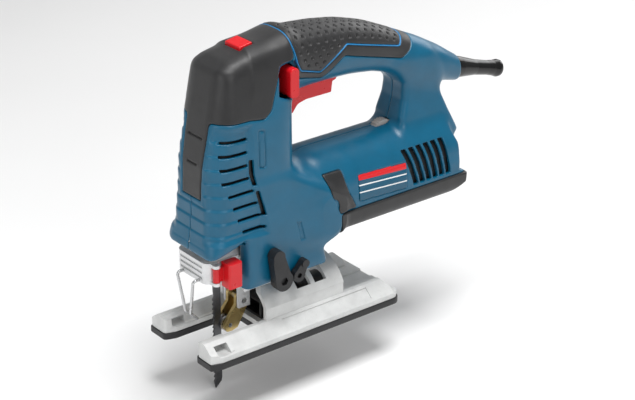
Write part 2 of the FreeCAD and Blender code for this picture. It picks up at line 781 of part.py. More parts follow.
def make_blade_clamp():
    body = rod(vec(0, 0, clamp_floor), Z_AXIS, clamp_radius, clamp_height)
    ring = rod(vec(0, 0, clamp_floor + 2.5), Z_AXIS, clamp_radius + 1.0, 4)
    body = joined([body, ring])
    body = body.cut(rod(vec(0, 0, plunger_foot), Z_AXIS, plunger_radius, clamp_height))
    return body.cut(make_blade())


pinion_front = gear_front - 1.0
pinion_back = gear_back + 1.0
add("crank_gear", make_crank_gear())
add("yoke", make_yoke())
add("plunger", rod(vec(0, 0, plunger_foot), Z_AXIS, plunger_radius, plunger_top - plunger_foot))
add("guide_frame", make_guide_frame())
add("plunger_bushes", make_bushes())
add("saw_blade", make_blade())
add("blade_clamp", make_blade_clamp())

cover = box(case_rear, case_rear + cover_thick, -case_half, case_half, case_floor + 3, case_top)
cover = cover.cut(rod(vec(0, 0, motor_axis), X_AXIS, 5.4, 100))
cover = cover.cut(rod(vec(case_rear + 1, 0, motor_axis), X_AXIS, bearing_outer, 100))
cover = cover.cut(rod(vec(0, 0, gear_axis), X_AXIS, 5.6, 100))
add("gear_cover", cover)
add("gear_bush", tube(vec(case_rear, 0, gear_axis), X_AXIS, 5.6, shaft_radius + running, cover_thick))

# ---- Motor ---------------------------------------------------------------------------
core_front = 62.0
core_back = core_front + armature_length
stator_radius = motor_axis - barrel_floor - wall - seat_gap
winding_radius = armature_radius - 2.0
bracket_front = core_back + 48.0
front_bearing = case_rear + 1.0
rear_bearing = bracket_front + 1.0
commutator_front = core_back + 14.0
axis_start = vec(0, 0, motor_axis)


def about_motor(x, outer, inner, length):
    return tube(axis_start + vec(x, 0, 0), X_AXIS, outer, inner, length)


def make_fan():
    parts = [about_motor(40, 9, shaft_radius, 12), about_motor(40, fan_radius, shaft_radius, 1.8)]
    for blade in range(9):
        vane = box(41, 51, 8, fan_radius - 1, motor_axis - 0.7, motor_axis + 0.7)
        parts.append(turned(vane, axis_start, X_AXIS, blade * 40))
    return joined(parts)


def make_armature_core():
    core = about_motor(core_front, armature_radius, shaft_radius, armature_length)
    for slot in range(12):
        groove = box(core_front - 1, core_back + 1, armature_radius - 6, armature_radius + 1,
                     motor_axis - 0.9, motor_axis + 0.9)
        core = core.cut(turned(groove, axis_start, X_AXIS, slot * 30))
    return core


def make_stator():
    ring_shape = about_motor(core_front, stator_radius, armature_radius + air_gap, armature_length)
    for sign in (-1, 1):
        edge = sign * (stator_radius - 1.2)
        low, high = sorted((edge, sign * (stator_radius + 3)))
        ring_shape = ring_shape.cut(box(0, 200, low, high, 0, 200))
    return ring_shape


def make_stator_coils():
    """Coil heads that stand out of both ends of the stator, above and below the armature."""
    coils = []
    for x in (core_front - 7, core_back):
        ends = about_motor(x, stator_radius - 1.4, armature_radius + air_gap + 0.4, 7)
        ends = ends.cut(box(0, 200, -40, 40, motor_axis - 7, motor_axis + 7))
        coils += ends.Solids
    return Part.makeCompound(coils)


def make_brushes(size, y0, y1, hollow):
    pair = []
    middle = commutator_front + commutator_length / 2
    for sign in (-1, 1):
        low, high = sorted((sign * y0, sign * y1))
        block = box(middle - size, middle + size, low, high, motor_axis - size + 1, motor_axis + size - 1)
        if hollow:
            inner = size - 1.5
            block = block.cut(box(middle - inner, middle + inner, -100, 100, motor_axis - inner + 1,
                                  motor_axis + inner - 1))
        pair.append(block)
    return Part.makeCompound(pair)


def bearing_races(outer, inner):
    return Part.makeCompound([about_motor(x, outer, inner, bearing_width) for x in (front_bearing, rear_bearing)])


def bearing_balls():
    balls = []
    for x in (front_bearing, rear_bearing):
        for step in range(7):
            angle = 2 * math.pi * step / 7
            centre = vec(x + bearing_width / 2, 7.5 * math.cos(angle), motor_axis + 7.5 * math.sin(angle))
            balls.append(Part.makeSphere(1.25, centre))
    return Part.makeCompound(balls)


holder_reach = half_body - wall - seat_gap - 0.4
shaft_end = rear_bearing + bearing_width + 2
add("pinion", involute_gear(pinion_teeth, gear_module, 1.2 * gear_module, pinion_front,
                            pinion_back - pinion_front, motor_axis, 90))
add("armature_shaft", rod(vec(pinion_back, 0, motor_axis), X_AXIS, shaft_radius, shaft_end - pinion_back))
add("fan", make_fan())
add("armature_core", make_armature_core())
add("armature_windings", Part.makeCompound([about_motor(core_front - 6, winding_radius, shaft_radius + 1.5, 6),
                                            about_motor(core_back, winding_radius, shaft_radius + 1.5, 8)]))
add("commutator", about_motor(commutator_front, commutator_radius, shaft_radius, commutator_length))
add("stator_core", make_stator())
add("stator_coils", make_stator_coils())
add("brush_holders", make_brushes(5.0, commutator_radius + 1.2, holder_reach, True))
add("brushes", make_brushes(3.4, commutator_radius + 0.2, commutator_radius + 9, False))
add("bearing_outer_races", bearing_races(bearing_outer, 8.8))
add("bearing_inner_races", bearing_races(6.2, shaft_radius))
add("bearing_balls", bearing_balls())
bracket = about_motor(bracket_front, stator_radius, bearing_outer, bearing_width + 1)
for slot in range(6):
    gap = box(0, 300, 14, stator_radius - 2.5, motor_axis - 3, motor_axis + 3)
    bracket = bracket.cut(turned(gap, axis_start, X_AXIS, 30 + slot * 60))
add("motor_end_bracket", bracket)
module_floor = barrel_floor + wall + seat_gap
add("control_module", box(bracket_front + 12.5, motor_rear - 14, -13, 13, module_floor, motor_axis + 15))

# ---- Saddle, bevel clamp and blade guide roller ----------------------------------------
roller_axle = vec(blade_back + seat_gap + roller_radius - 1.8, 0, 9.5)
bracket_pivot = vec(18.0, 0, 26.0)
saddle_top = housing_bottom + 8.5
grip_radius = arch_radius - arch_thick - seat_gap


def make_saddle():
    """Casting under the gear case that rests on the arch and carries the roller bracket."""
    block = box(bracket_pivot.x - 5, leg_rear - 9, -15.5, 15.5, housing_bottom - 10, saddle_top)
    ears = both_sides(box(bracket_pivot.x - 4.5, bracket_pivot.x + 4.6, -ear_outer, -ear_inner,
                          bracket_pivot.z - 4.5, housing_bottom))
    bed = rod(vec(-10, 0, pivot_height), X_AXIS, arch_radius + seat_gap, 200)
    pillar = box(bracket_pivot.x - 5, case_rear - 4, -12, 12, saddle_top - 1, case_floor)
    body = joined([block.cut(bed), pillar] + ears)
    body = body.cut(rod(bracket_pivot - vec(0, 20, 0), Y_AXIS, bracket_pin_radius, 40))
    return body.cut(rod(vec(bolt_place, 0, 0), Z_AXIS, bolt_radius, 100))


def make_clamp_plate():
    plate = box(window_places[0][0] + 0.6, window_places[0][0] + window_places[0][1] - 0.6, -5, 5,
                pivot_height + 18, arch_top)
    plate = plate.common(rod(vec(0, 0, pivot_height), X_AXIS, grip_radius, 200))
    return plate.cut(rod(vec(bolt_place, 0, 0), Z_AXIS, bolt_radius, 100))


def make_clamp_bolt():
    shank = rod(vec(bolt_place, 0, pivot_height + 17), Z_AXIS, bolt_radius, saddle_top - pivot_height - 18)
    corners = [(bolt_place + 4.6 * math.cos(math.pi * k / 3), 4.6 * math.sin(math.pi * k / 3))
               for k in range(6)]
    head = plan_prism(corners, pivot_height + 15, pivot_height + 18)
    return joined([shank, head])


def make_roller_bracket():
    arm = [(13.5, 30.5, 2), (22.2, 30.5, 3), (22.6, 20, 3), (14.5, 6.2, 2), (10, 4.9, 1), (5.4, 5.2, 2),
           (3.6, 10, 2), (7.5, 16, 2), (13.2, 23, 2)]
    web = [(22.2, 26), (22.6, 20, 3), (15.2, 7.5), (14.9, 11), (19.9, 20.5), (20.2, 26)]
    hub = rod(bracket_pivot - vec(0, ear_inner - seat_gap, 0), Y_AXIS, 3.6, ear_inner - seat_gap - arm_outer)
    parts = [side_prism(web, -arm_outer, arm_outer)]
    parts += both_sides(side_prism(arm, -arm_outer, -arm_inner)) + both_sides(hub)
    body = joined(parts)
    body = body.cut(rod(bracket_pivot - vec(0, 20, 0), Y_AXIS, bracket_pin_radius + running, 40))
    return body.cut(rod(roller_axle - vec(0, 20, 0), Y_AXIS, roller_pin_radius, 40))


def make_roller():
    """Grooved roller that backs the blade."""
    half = 2.6
    wheel = rod(roller_axle - vec(0, half, 0), Y_AXIS, roller_radius, 2 * half)
    groove = tube(roller_axle - vec(0, 0.95, 0), Y_AXIS, roller_radius + 1, roller_radius - 1.8, 1.9)
    return wheel.cut(groove).cut(rod(roller_axle - vec(0, 9, 0), Y_AXIS, roller_pin_radius + running, 18))


add("saddle", make_saddle())
add("clamp_plate", make_clamp_plate())
add("clamp_bolt", make_clamp_bolt())
add("roller_bracket", make_roller_bracket())
add("bracket_pin", rod(bracket_pivot - vec(0, ear_outer, 0), Y_AXIS, bracket_pin_radius, 2 * ear_outer))
add("guide_roller", make_roller())
add("roller_pin", rod(roller_axle - vec(0, arm_outer, 0), Y_AXIS, roller_pin_radius, 2 * arm_outer))

# ---- Controls ----------------------------------------------------------------------------
switch_floor = hand_gap_top + 10.5
switch_height = 16.0


def make_trigger():
    rear = trigger_pivot.x
    top = trigger_pivot.z
    low = hand_gap_top - trigger_depth
    tip = hand_gap_top - trigger_hook
    profile = [(trigger_front, top - 1), (trigger_front + 0.4, tip + 0.8, 1), (trigger_front + 2.8, tip, 1),
               (trigger_front + 7, low - 1.6, 5), (trigger_front + 14, low, 6), (rear - 2, low, 1),
               (rear - 1, hand_gap_top - 1, 1), (rear + 2.6, hand_gap_top, 2), (rear + 2.6, top + 2, 2),
               (rear - 2.6, top + 2, 1)]
    body = side_prism(profile, -trigger_half, trigger_half)
    return body.cut(rod(trigger_pivot - vec(0, 20, 0), Y_AXIS, trigger_pin_radius + running, 40))


def make_lock_button():
    half_w = lock_width / 2
    half_h = lock_height / 2
    x, z = lock_centre.x, lock_centre.z
    face = [(x - half_w, z - half_h, 3), (x + half_w, z - half_h, 3), (x + half_w, z + half_h, 3),
            (x - half_w, z + half_h, 3)]
    return side_prism(face, -half_body + 5.5 - lock_travel, -12)


def make_top_button():
    x0, x1, half = top_button
    roof = total_height - 3
    return side_prism([(x0, roof - 7), (x1, roof - 7), (x1, roof + 1.4, 1), (x0, roof - 0.4, 1)], -half, half)


def rocker(pivot, tip, hub_radius, tip_radius, thick):
    """Flat lever on the left flank: hub, tapering arm and a raised tip."""
    near = -half_body - slide_gap
    along = (tip - pivot).normalize()
    across = vec(-along.z, 0, along.x)
    hub = rod(vec(pivot.x, near - thick, pivot.z), Y_AXIS, hub_radius, thick)
    end = rod(vec(tip.x, near - thick - 1, tip.z), Y_AXIS, tip_radius, thick + 1)
    corners = [pivot + across * hub_radius * 0.93, tip + across * tip_radius, tip - across * tip_radius,
               pivot - across * hub_radius * 0.93]
    arm = side_prism([(c.x, c.z) for c in corners], near - thick, near)
    shaft = rod(vec(pivot.x, near, pivot.z), Y_AXIS, lever_shaft, wall + 3.5)
    hexagon = [(pivot.x + hub_radius * 0.42 * math.cos(math.pi * k / 3),
                pivot.z + hub_radius * 0.42 * math.sin(math.pi * k / 3)) for k in range(6)]
    socket = side_prism(hexagon, near - thick - 1, near - thick + 2)
    return joined([hub, end, arm, shaft]).cut(socket)


def make_thumbwheel():
    wheel = rod(wheel_centre - vec(0, wheel_thick / 2, 0), Y_AXIS, wheel_radius, wheel_thick)
    for notch in range(24):
        tooth = box(wheel_centre.x + wheel_radius - 0.5, wheel_centre.x + wheel_radius + 1, -wheel_thick,
                    wheel_thick, wheel_centre.z - 0.45, wheel_centre.z + 0.45)
        wheel = wheel.cut(turned(tooth, wheel_centre, Y_AXIS, notch * 15))
    return wheel.cut(rod(wheel_centre - vec(0, 20, 0), Y_AXIS, 1.5 + running, 40))


def make_dial_pot():
    near = wheel_thick / 2 + seat_gap
    body = box(wheel_centre.x - 5, wheel_centre.x + 5, near, near + 5.5, wheel_centre.z - 6.5,
               wheel_centre.z + 1.5)
    stem = rod(wheel_centre - vec(0, wheel_thick / 2 + 0.3, 0), Y_AXIS, 1.5, wheel_thick + 1)
    return joined([body, stem])


def make_cord_sleeve():
    """Flexible bend relief: stem in the shell, tapered body and a flared mouth."""
    profile = [(-16, sleeve_fit), (0, sleeve_fit), (0, 7.7), (5, 7.4), (20, 5.5), (32, 5.2), (38, 5.5),
               (42, 6.3), (44, 6.0), (44, cord_bore), (-16, cord_bore)]
    points = [vec(cord_exit.x + u, 0, cord_exit.z + v) for u, v in profile]
    face = Part.Face(Part.makePolygon(points + points[:1]))
    return turned(face.revolve(cord_exit, X_AXIS, 360), cord_exit, Y_AXIS, cord_fall)


def make_switch_body():
    """Switch block with two ears that sit against the walls of the handle."""
    x0, x1 = trigger_front + 8.6, trigger_front + 32.6
    block = box(x0, x1, -8.5, 8.5, switch_floor, switch_floor + switch_height)
    middle = switch_floor + switch_height / 2
    ears = box(x0 + 5, x1 - 5, -ear_reach, ear_reach, middle - 1.5, middle + 1.5)
    return joined([block, ears])


ear_reach = half_grip_w - skin - wall - seat_gap
add("trigger", make_trigger())
add("trigger_pin", rod(trigger_pivot - vec(0, trigger_pin_half, 0), Y_AXIS, trigger_pin_radius,
                       2 * trigger_pin_half))
add("switch_body", make_switch_body())
add("lock_button", make_lock_button())
add("lamp_button", make_top_button())
add("work_lamp", box(nose_front + 1.4, case_front - seat_gap, -5, 5, lip_height - 1.7, lip_height + 3.3))
add("thumbwheel", make_thumbwheel())
add("dial_pot", make_dial_pot())
add("orbit_lever", rocker(orbit_pivot, vec(27.4, 0, orbit_pivot.z + 19), orbit_hub, 4.6, 6.0))
add("blower_lever", rocker(blower_pivot, vec(blower_pivot.x + 4.6, 0, blower_pivot.z + 7.6), blower_hub, 2.9,
                           4.2))
add("cord_sleeve", make_cord_sleeve())

# ---- Inlays and screws ---------------------------------------------------------------------
leg_screws = motor_axis - half_body - 5
screw_places = [(50, leg_screws), (64, leg_screws), (40, 150), (118, 169.5), (167, 137), (176, 116)]
surface = form.cut(housing_form(inlay_depth))
stripe = [(83, 79.5, 1), (83, 70.5, 1), (193, 64.0, 1), (193, 73, 1)]
patch = [(72.3, 106.8, 1), (84.6, 106.4, 2), (86, 97, 12), (94, 79.8), (94, 76.4), (83, 76.4), (76, 92, 20)]
plate = [(101, 100, 2), (101, 83, 2), (140, 81, 2), (140, 98, 2)]


def surface_inlay(region, left_only=False):
    near = surface.common(side_prism(region, -half_body - 3, -8))
    return near if left_only else Part.makeCompound([near, mirrored(near)])


def make_screw(x, z):
    head_place = right_face(x, z) - 3.4
    shank = rod(vec(x, -11, z), Y_AXIS, screw_radius, head_place + 11)
    head = rod(vec(x, head_place, z), Y_AXIS, screw_head, 2.6)
    cross = box(x - 2.2, x + 2.2, head_place + 1.2, head_place + 4, z - 0.5, z + 0.5)
    return joined([shank, head]).cut(cross).cut(turned(cross, vec(x, 0, z), Y_AXIS, 90))


def right_face(x, z):
    """Depth of the right flank where a screw stands."""
    line = Part.makeLine(vec(x, 0, z), vec(x, 60, z))
    return line.common(form).BoundBox.YMax


def add_bosses(shell_half, sign):
    body = shell_half
    for x, z in screw_places:
        face = right_face(x, z)
        low, high = sorted((0.0, sign * (face - 0.5)))
        boss = rod(vec(x, low, z), Y_AXIS, 4.6, high - low).common(form)
        body = body.fuse(boss)
    for x, z in screw_places:
        face = right_face(x, z)
        body = body.cut(rod(vec(x, -11, z), Y_AXIS, screw_radius, 11 + face))
        if sign > 0:
            body = body.cut(rod(vec(x, face - 3.4, z), Y_AXIS, screw_head, 10))
    return body


stripes = surface_inlay(stripe)
patches = surface_inlay(patch)
label = surface_inlay(plate, True)
bumpers = []
for sign in (0, 1):
    bumpers.append(joined([stripes.Solids[sign], patches.Solids[sign]]))
inlays = Part.makeCompound(bumpers)
left = add_bosses(nodes["left_shell"], -1).cut(bumpers[0]).cut(label)
right = add_bosses(nodes["right_shell"], 1).cut(bumpers[1])
nodes["left_shell"] = largest(left.cut(nodes["cord_sleeve"]))
nodes["right_shell"] = largest(right.cut(nodes["cord_sleeve"]))
add("side_bumpers", inlays)
add("label_plate", label)
add("housing_screws", Part.makeCompound([make_screw(x, z) for x, z in screw_places]))

# ---- Write one file per piece ----------------------------------------------------------------
os.makedirs("parts", exist_ok=True)
for name, shape in nodes.items():
    shape.exportStep("parts/" + name + ".step")
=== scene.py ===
import json
import math

import bmesh
import bpy
import numpy as np
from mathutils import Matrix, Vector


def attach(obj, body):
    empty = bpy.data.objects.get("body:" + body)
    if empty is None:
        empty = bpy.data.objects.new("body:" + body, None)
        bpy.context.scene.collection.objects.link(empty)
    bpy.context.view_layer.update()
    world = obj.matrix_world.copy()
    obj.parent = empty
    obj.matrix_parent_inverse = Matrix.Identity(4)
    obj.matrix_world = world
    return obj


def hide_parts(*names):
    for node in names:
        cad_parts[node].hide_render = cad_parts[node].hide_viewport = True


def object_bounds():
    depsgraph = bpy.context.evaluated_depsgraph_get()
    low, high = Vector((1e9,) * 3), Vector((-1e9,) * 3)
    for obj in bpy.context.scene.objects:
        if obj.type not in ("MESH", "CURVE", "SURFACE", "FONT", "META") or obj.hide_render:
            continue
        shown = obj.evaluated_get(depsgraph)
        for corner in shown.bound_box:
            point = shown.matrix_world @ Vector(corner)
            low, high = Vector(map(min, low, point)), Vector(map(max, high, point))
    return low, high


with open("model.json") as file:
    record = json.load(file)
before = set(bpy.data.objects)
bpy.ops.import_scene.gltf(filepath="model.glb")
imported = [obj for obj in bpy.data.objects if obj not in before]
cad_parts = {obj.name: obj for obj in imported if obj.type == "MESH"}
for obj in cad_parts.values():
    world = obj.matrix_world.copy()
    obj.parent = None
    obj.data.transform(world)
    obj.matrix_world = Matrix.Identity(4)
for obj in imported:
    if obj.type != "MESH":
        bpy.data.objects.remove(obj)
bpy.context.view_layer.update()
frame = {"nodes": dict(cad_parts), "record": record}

import openvdb
from mathutils import Matrix, Vector

# D-handle jigsaw. Shapes are worked out in millimetres in the frame of the CAD model and
# turned into metres when a mesh is made.
MM = 0.001
COARSE = 0.65               # voxel of the large shells
FINE = 0.5                  # voxel of the soft skins
FINEST = 0.4                # voxel of the dimpled pad

HALF_BODY = 28.0            # half the width of the motor barrel
HALF_HEAD = 28.2            # half the width of the head
MOTOR_AXIS = 91.0           # height of the motor shaft
WALL = 2.6                  # wall of the shells
SKIN = 2.2                  # thickness of the soft skins
SHADE_SHEET_HALF = 0.7                # half the thickness of the black sheets of painted shade behind the slots
SEAM = 0.12                 # half of the gap between two mouldings
SPLIT = 0.10                # gap from the mid-plane to each shell
HOUSING = "housing"


# ---- Materials ----------------------------------------------------------------------------
def srgb(red, green, blue):
    return tuple((c / 255.0) ** 2.2 for c in (red, green, blue))


class Paint:
    """Small builder for one procedural material."""

    def __init__(self, name, colour, roughness, metallic=0.0):
        self.material = bpy.data.materials.new(name)
        self.material.use_nodes = True
        self.tree = self.material.node_tree
        self.shader = self.tree.nodes["Principled BSDF"]
        self.colour = colour
        self.set("Base Color", (*colour, 1.0))
        self.set("Roughness", roughness)
        self.set("Metallic", metallic)
        self.place = self.node("ShaderNodeTexCoord").outputs["Object"]
        self.bumps = None

    def node(self, kind, **values):
        made = self.tree.nodes.new(kind)
        for key, value in values.items():
            setattr(made, key, value)
        return made

    def link(self, start, end):
        self.tree.links.new(start, end)

    def set(self, socket, value):
        self.shader.inputs[socket].default_value = value

    def stretched(self, scale):
        mapping = self.node("ShaderNodeMapping")
        mapping.inputs["Scale"].default_value = scale
        self.link(self.place, mapping.inputs["Vector"])
        return mapping.outputs["Vector"]

    def noise(self, size, detail=3.0, stretch=None):
        """Noise whose features are about size millimetres across."""
        made = self.node("ShaderNodeTexNoise")
        made.inputs["Scale"].default_value = 1.0 / (size * MM)
        made.inputs["Detail"].default_value = detail
        made.inputs["Roughness"].default_value = 0.55
        self.link(self.stretched(stretch) if stretch else self.place, made.inputs["Vector"])
        return made.outputs["Fac"]

    def cells(self, size):
        """Cells about size millimetres across, dark at their middles."""
        made = self.node("ShaderNodeTexVoronoi")
        made.inputs["Scale"].default_value = 1.0 / (size * MM)
        self.link(self.place, made.inputs["Vector"])
        return made.outputs["Distance"]

    def ramp(self, value, stops, interpolation="LINEAR"):
        made = self.node("ShaderNodeValToRGB")
        made.color_ramp.interpolation = interpolation
        elements = made.color_ramp.elements
        while len(elements) < len(stops):
            elements.new(0.5)
        for element, (position, colour) in zip(elements, stops):
            element.position = position
            element.color = (*colour, 1.0)
        self.link(value, made.inputs["Fac"])
        return made.outputs["Color"]

    def remap(self, value, low, high, out_low, out_high):
        made = self.node("ShaderNodeMapRange")
        for key, number in (("From Min", low), ("From Max", high), ("To Min", out_low), ("To Max", out_high)):
            made.inputs[key].default_value = number
        self.link(value, made.inputs["Value"])
        return made.outputs["Result"]

    def mix(self, factor, first, second):
        made = self.node("ShaderNodeMix", data_type="RGBA")
        sockets = [s for s in made.inputs if s.type == "RGBA"]
        for socket, value in zip(sockets, (first, second)):
            if isinstance(value, tuple):
                socket.default_value = (*value, 1.0)
            else:
                self.link(value, socket)
        self.link(factor, made.inputs[0])
        return [s for s in made.outputs if s.type == "RGBA"][0]

    def bump(self, height, distance, strength=1.0):
        """Add one layer of relief, distance millimetres high."""
        made = self.node("ShaderNodeBump")
        made.inputs["Distance"].default_value = distance * MM
        made.inputs["Strength"].default_value = strength
        self.link(height, made.inputs["Height"])
        if self.bumps:
            self.link(self.bumps, made.inputs["Normal"])
        self.bumps = made.outputs["Normal"]
        self.link(self.bumps, self.shader.inputs["Normal"])

    def vary(self, value, amount):
        """Mottle the base colour by a share of itself."""
        dark = tuple(c * (1 - amount) for c in self.colour)
        light = tuple(min(c * (1 + amount), 1.0) for c in self.colour)
        made = self.ramp(value, [(0.3, dark), (0.7, light)])
        self.link(made, self.shader.inputs["Base Color"])
        return made

    def rub(self, value, low, high):
        self.link(self.remap(value, 0.3, 0.7, low, high), self.shader.inputs["Roughness"])


def moulded(name, colour, roughness, grain=0.55, relief=0.035, mottle=0.07):
    """Spark-eroded plastic: fine grain, slightly cloudy colour and uneven gloss."""
    paint = Paint(name, colour, roughness)
    paint.vary(paint.noise(14.0, 4.0), mottle)
    paint.rub(paint.noise(9.0, 3.0), roughness - 0.05, roughness + 0.07)
    paint.bump(paint.noise(grain, 2.0), relief)
    paint.bump(paint.noise(45.0, 1.0), 0.12, 0.5)
    return paint


def rubbery(name, colour, roughness):
    """Soft overmould: dense pebble grain with a dusty sheen."""
    paint = moulded(name, colour, roughness, 0.5, 0.05, 0.12)
    paint.bump(paint.cells(0.9), 0.03, 0.6)
    paint.set("Sheen Weight", 0.18)
    paint.set("Sheen Roughness", 0.45)
    return paint


def brushed(name, colour, roughness, stretch):
    """Turned, ground or drawn steel with grinding lines and faint smudges."""
    paint = Paint(name, colour, roughness, 1.0)
    lines = paint.noise(0.5, 3.0, stretch)
    paint.vary(lines, 0.10)
    paint.rub(paint.noise(7.0, 4.0), roughness - 0.06, roughness + 0.12)
    paint.bump(lines, 0.012)
    return paint


def cast(name, colour, roughness, metallic=1.0):
    """Die casting: blasted skin, shallow waves and small dark specks of painted shade standing in for pores.
    """
    paint = Paint(name, colour, roughness, metallic)
    pore_shade_specks = paint.cells(1.6)
    clouds = paint.noise(11.0, 4.0)
    tinted = paint.vary(clouds, 0.09)
    # painted shade: specks darkened to 0.72 of the colour stand in for the shade inside pores, which have no
    # relief
    dark = tuple(c * 0.72 for c in colour)
    pore_shaded = paint.mix(paint.remap(pore_shade_specks, 0.0, 0.16, 1.0, 0.0), tinted, dark)
    paint.link(pore_shaded, paint.shader.inputs["Base Color"])
    paint.rub(paint.noise(5.0, 4.0), roughness - 0.08, roughness + 0.10)
    paint.bump(paint.noise(0.8, 3.0), 0.04)
    paint.bump(paint.noise(6.0, 2.0), 0.10, 0.6)
    return paint


def make_materials():
    blue = srgb(4, 90, 120)
    made = {
        "housing_blue": moulded("moulded_blue", blue, 0.33),
        "accent_blue": moulded("accent_blue", srgb(30, 120, 176), 0.36, 0.8, 0.02),
        "dark_rubber": rubbery("dark_rubber", srgb(36, 36, 37), 0.45),
        "control_red": moulded("control_red", srgb(206, 26, 34), 0.30, 0.9, 0.015, 0.05),
        "black_plastic": moulded("black_plastic", srgb(28, 28, 30), 0.45),
        "grey_plastic": moulded("grey_plastic", srgb(176, 172, 168), 0.48),
        "foot_alloy": cast("foot_paint", srgb(204, 205, 204), 0.40, 0.15),
        "cast_alloy": cast("cast_alloy", srgb(222, 223, 224), 0.38, 0.45),
        "gold_steel": brushed("gold_steel", srgb(214, 188, 128), 0.30, (1, 1, 6)),
        "bright_steel": brushed("bright_steel", srgb(198, 199, 200), 0.26, (1, 1, 9)),
        "blade_steel": brushed("blade_steel", srgb(92, 92, 94), 0.34, (1, 1, 12)),
        "sintered_bronze": cast("sintered_bronze", srgb(178, 136, 84), 0.42),
        "laminated_steel": laminated(),
        "copper": wound(),
        "carbon": moulded("pressed_carbon", srgb(36, 36, 37), 0.55, 0.4, 0.05, 0.2),
        "sleeve_black": moulded("sleeve_black", srgb(20, 20, 21), 0.16, 2.5, 0.02),
        "label_film": label(blue),
        "potting_green": moulded("potting_green", srgb(48, 84, 60), 0.35, 3.0, 0.2, 0.15),
        "clear_lens": lens(),
    }
    return {slot: paint.material for slot, paint in made.items()}


def laminated():
    """Stacked iron sheets: fine dark lines across the shaft."""
    paint = Paint("laminated_steel", srgb(120, 120, 124), 0.42, 1.0)
    wave = paint.node("ShaderNodeTexWave", bands_direction="X")
    wave.inputs["Scale"].default_value = 320.0
    wave.inputs["Distortion"].default_value = 0.6
    paint.link(paint.place, wave.inputs["Vector"])
    paint.vary(wave.outputs["Fac"], 0.35)
    paint.bump(wave.outputs["Fac"], 0.05)
    return paint


def wound():
    """Enamelled copper wire lying round the shaft."""
    paint = Paint("wound_copper", srgb(190, 96, 48), 0.28, 1.0)
    rings = paint.node("ShaderNodeTexWave", wave_type="RINGS", rings_direction="X")
    rings.inputs["Scale"].default_value = 420.0
    rings.inputs["Distortion"].default_value = 2.0
    paint.link(paint.place, rings.inputs["Vector"])
    paint.vary(rings.outputs["Fac"], 0.3)
    paint.bump(rings.outputs["Fac"], 0.15)
    return paint


def label(blue):
    """Plain printed film: a red bar and thin white rules on the housing's own blue, with no text."""
    paint = Paint("side_label", blue, 0.30)
    slope = 0.062               # the rules fall slightly towards the rear
    low, high = 0.0895, 0.1115  # heights between which the bands lie
    split = paint.node("ShaderNodeSeparateXYZ")
    paint.link(paint.place, split.inputs["Vector"])
    height = paint.node("ShaderNodeMath", operation="MULTIPLY_ADD")
    height.inputs[1].default_value = slope
    paint.link(split.outputs["X"], height.inputs[0])
    paint.link(split.outputs["Z"], height.inputs[2])
    white = (0.82, 0.83, 0.84)
    red = srgb(214, 34, 40)
    shade = tuple(c * 0.8 for c in blue)
    stops = [(0.0, shade), (0.20, white), (0.24, shade), (0.42, white), (0.46, shade),
             (0.60, red), (0.86, shade)]
    bands = paint.ramp(paint.remap(height.outputs[0], low, high, 0.0, 1.0), stops, "CONSTANT")
    worn = paint.mix(paint.remap(paint.noise(0.9, 4.0), 0.62, 0.75, 0.0, 0.35), bands, shade)
    paint.link(worn, paint.shader.inputs["Base Color"])
    paint.bump(paint.noise(0.7, 2.0), 0.02)
    return paint


def lens():
    paint = Paint("clear_lens", (0.9, 0.95, 1.0), 0.08)
    paint.set("Transmission Weight", 0.8)
    paint.set("IOR", 1.49)
    paint.bump(paint.cells(1.2), 0.1)
    return paint


materials = make_materials()


# ---- Solid fields -------------------------------------------------------------------------
# A field is negative inside the solid and grows by about one per millimetre.
class Space:
    """A block of voxels between two corners."""

    def __init__(self, low, high, step):
        self.low = np.array(low, np.float32)
        self.step = step
        counts = [int((b - a) / step) + 2 for a, b in zip(low, high)]
        x, y, z = (np.float32(a) + np.arange(n, dtype=np.float32) * np.float32(step)
                   for a, n in zip(low, counts))
        self.x = x[:, None, None]
        self.y = y[None, :, None]
        self.z = z[None, None, :]


def polygon(u, v, corners):
    """Signed distance in a plane to a closed polygon."""
    nearest = np.float32(1e9)
    inside = np.zeros(np.broadcast_shapes(u.shape, v.shape), bool)
    for (ax, ay), (bx, by) in zip(corners, corners[1:] + corners[:1]):
        ex, ey = bx - ax, by - ay
        along = np.clip(((u - ax) * ex + (v - ay) * ey) / (ex * ex + ey * ey), 0, 1)
        nearest = np.minimum(nearest, (u - ax - ex * along) ** 2 + (v - ay - ey * along) ** 2)
        if ey:
            crosses = (ay <= v) != (by <= v)
            inside ^= crosses & (u < ex * (v - ay) / ey + ax)
    return np.where(inside, -1, 1).astype(np.float32) * np.sqrt(nearest)


def soften(flat, radius, step):
    """Round the corners of a plane field by averaging it twice over about radius."""
    reach = max(1, int(radius / step * 0.5))
    count = 2 * reach + 1
    out = np.squeeze(flat)
    for _ in range(2):
        for axis in (0, 1):
            wide = [(reach, reach) if i == axis else (0, 0) for i in (0, 1)]
            padded = np.pad(out, wide, mode="edge")
            total = np.cumsum(padded, axis=axis, dtype=np.float64)
            total = np.insert(total, 0, 0, axis=axis)
            size = out.shape[axis]
            high = np.take(total, range(count, count + size), axis=axis)
            low = np.take(total, range(size), axis=axis)
            out = ((high - low) / count).astype(np.float32)
    return out.reshape(flat.shape)


def meet(a, b, radius):
    """Both solids at once, with a rounded edge."""
    blend = np.maximum(radius - np.abs(a - b), 0) / radius
    return np.maximum(a, b) + blend * blend * (radius / 4)


def unite(a, b, radius):
    """Either solid, with a filleted corner."""
    return -meet(-a, -b, radius)


def carve(a, b, radius):
    """The first solid without the second, with a rounded rim."""
    return meet(a, -b, radius)


def block(space, x0, x1, y0, y1, z0, z1, edge=0.0):
    """Box field; edge rounds its corners."""
    parts = []
    for axis, low, high in ((space.x, x0, x1), (space.y, y0, y1), (space.z, z0, z1)):
        parts.append(np.abs(axis - (low + high) / 2) - ((high - low) / 2 - edge))
    outside = sum(np.maximum(part, 0) ** 2 for part in parts)
    inside = np.minimum(np.maximum(np.maximum(parts[0], parts[1]), parts[2]), 0)
    return np.sqrt(outside) + inside - edge


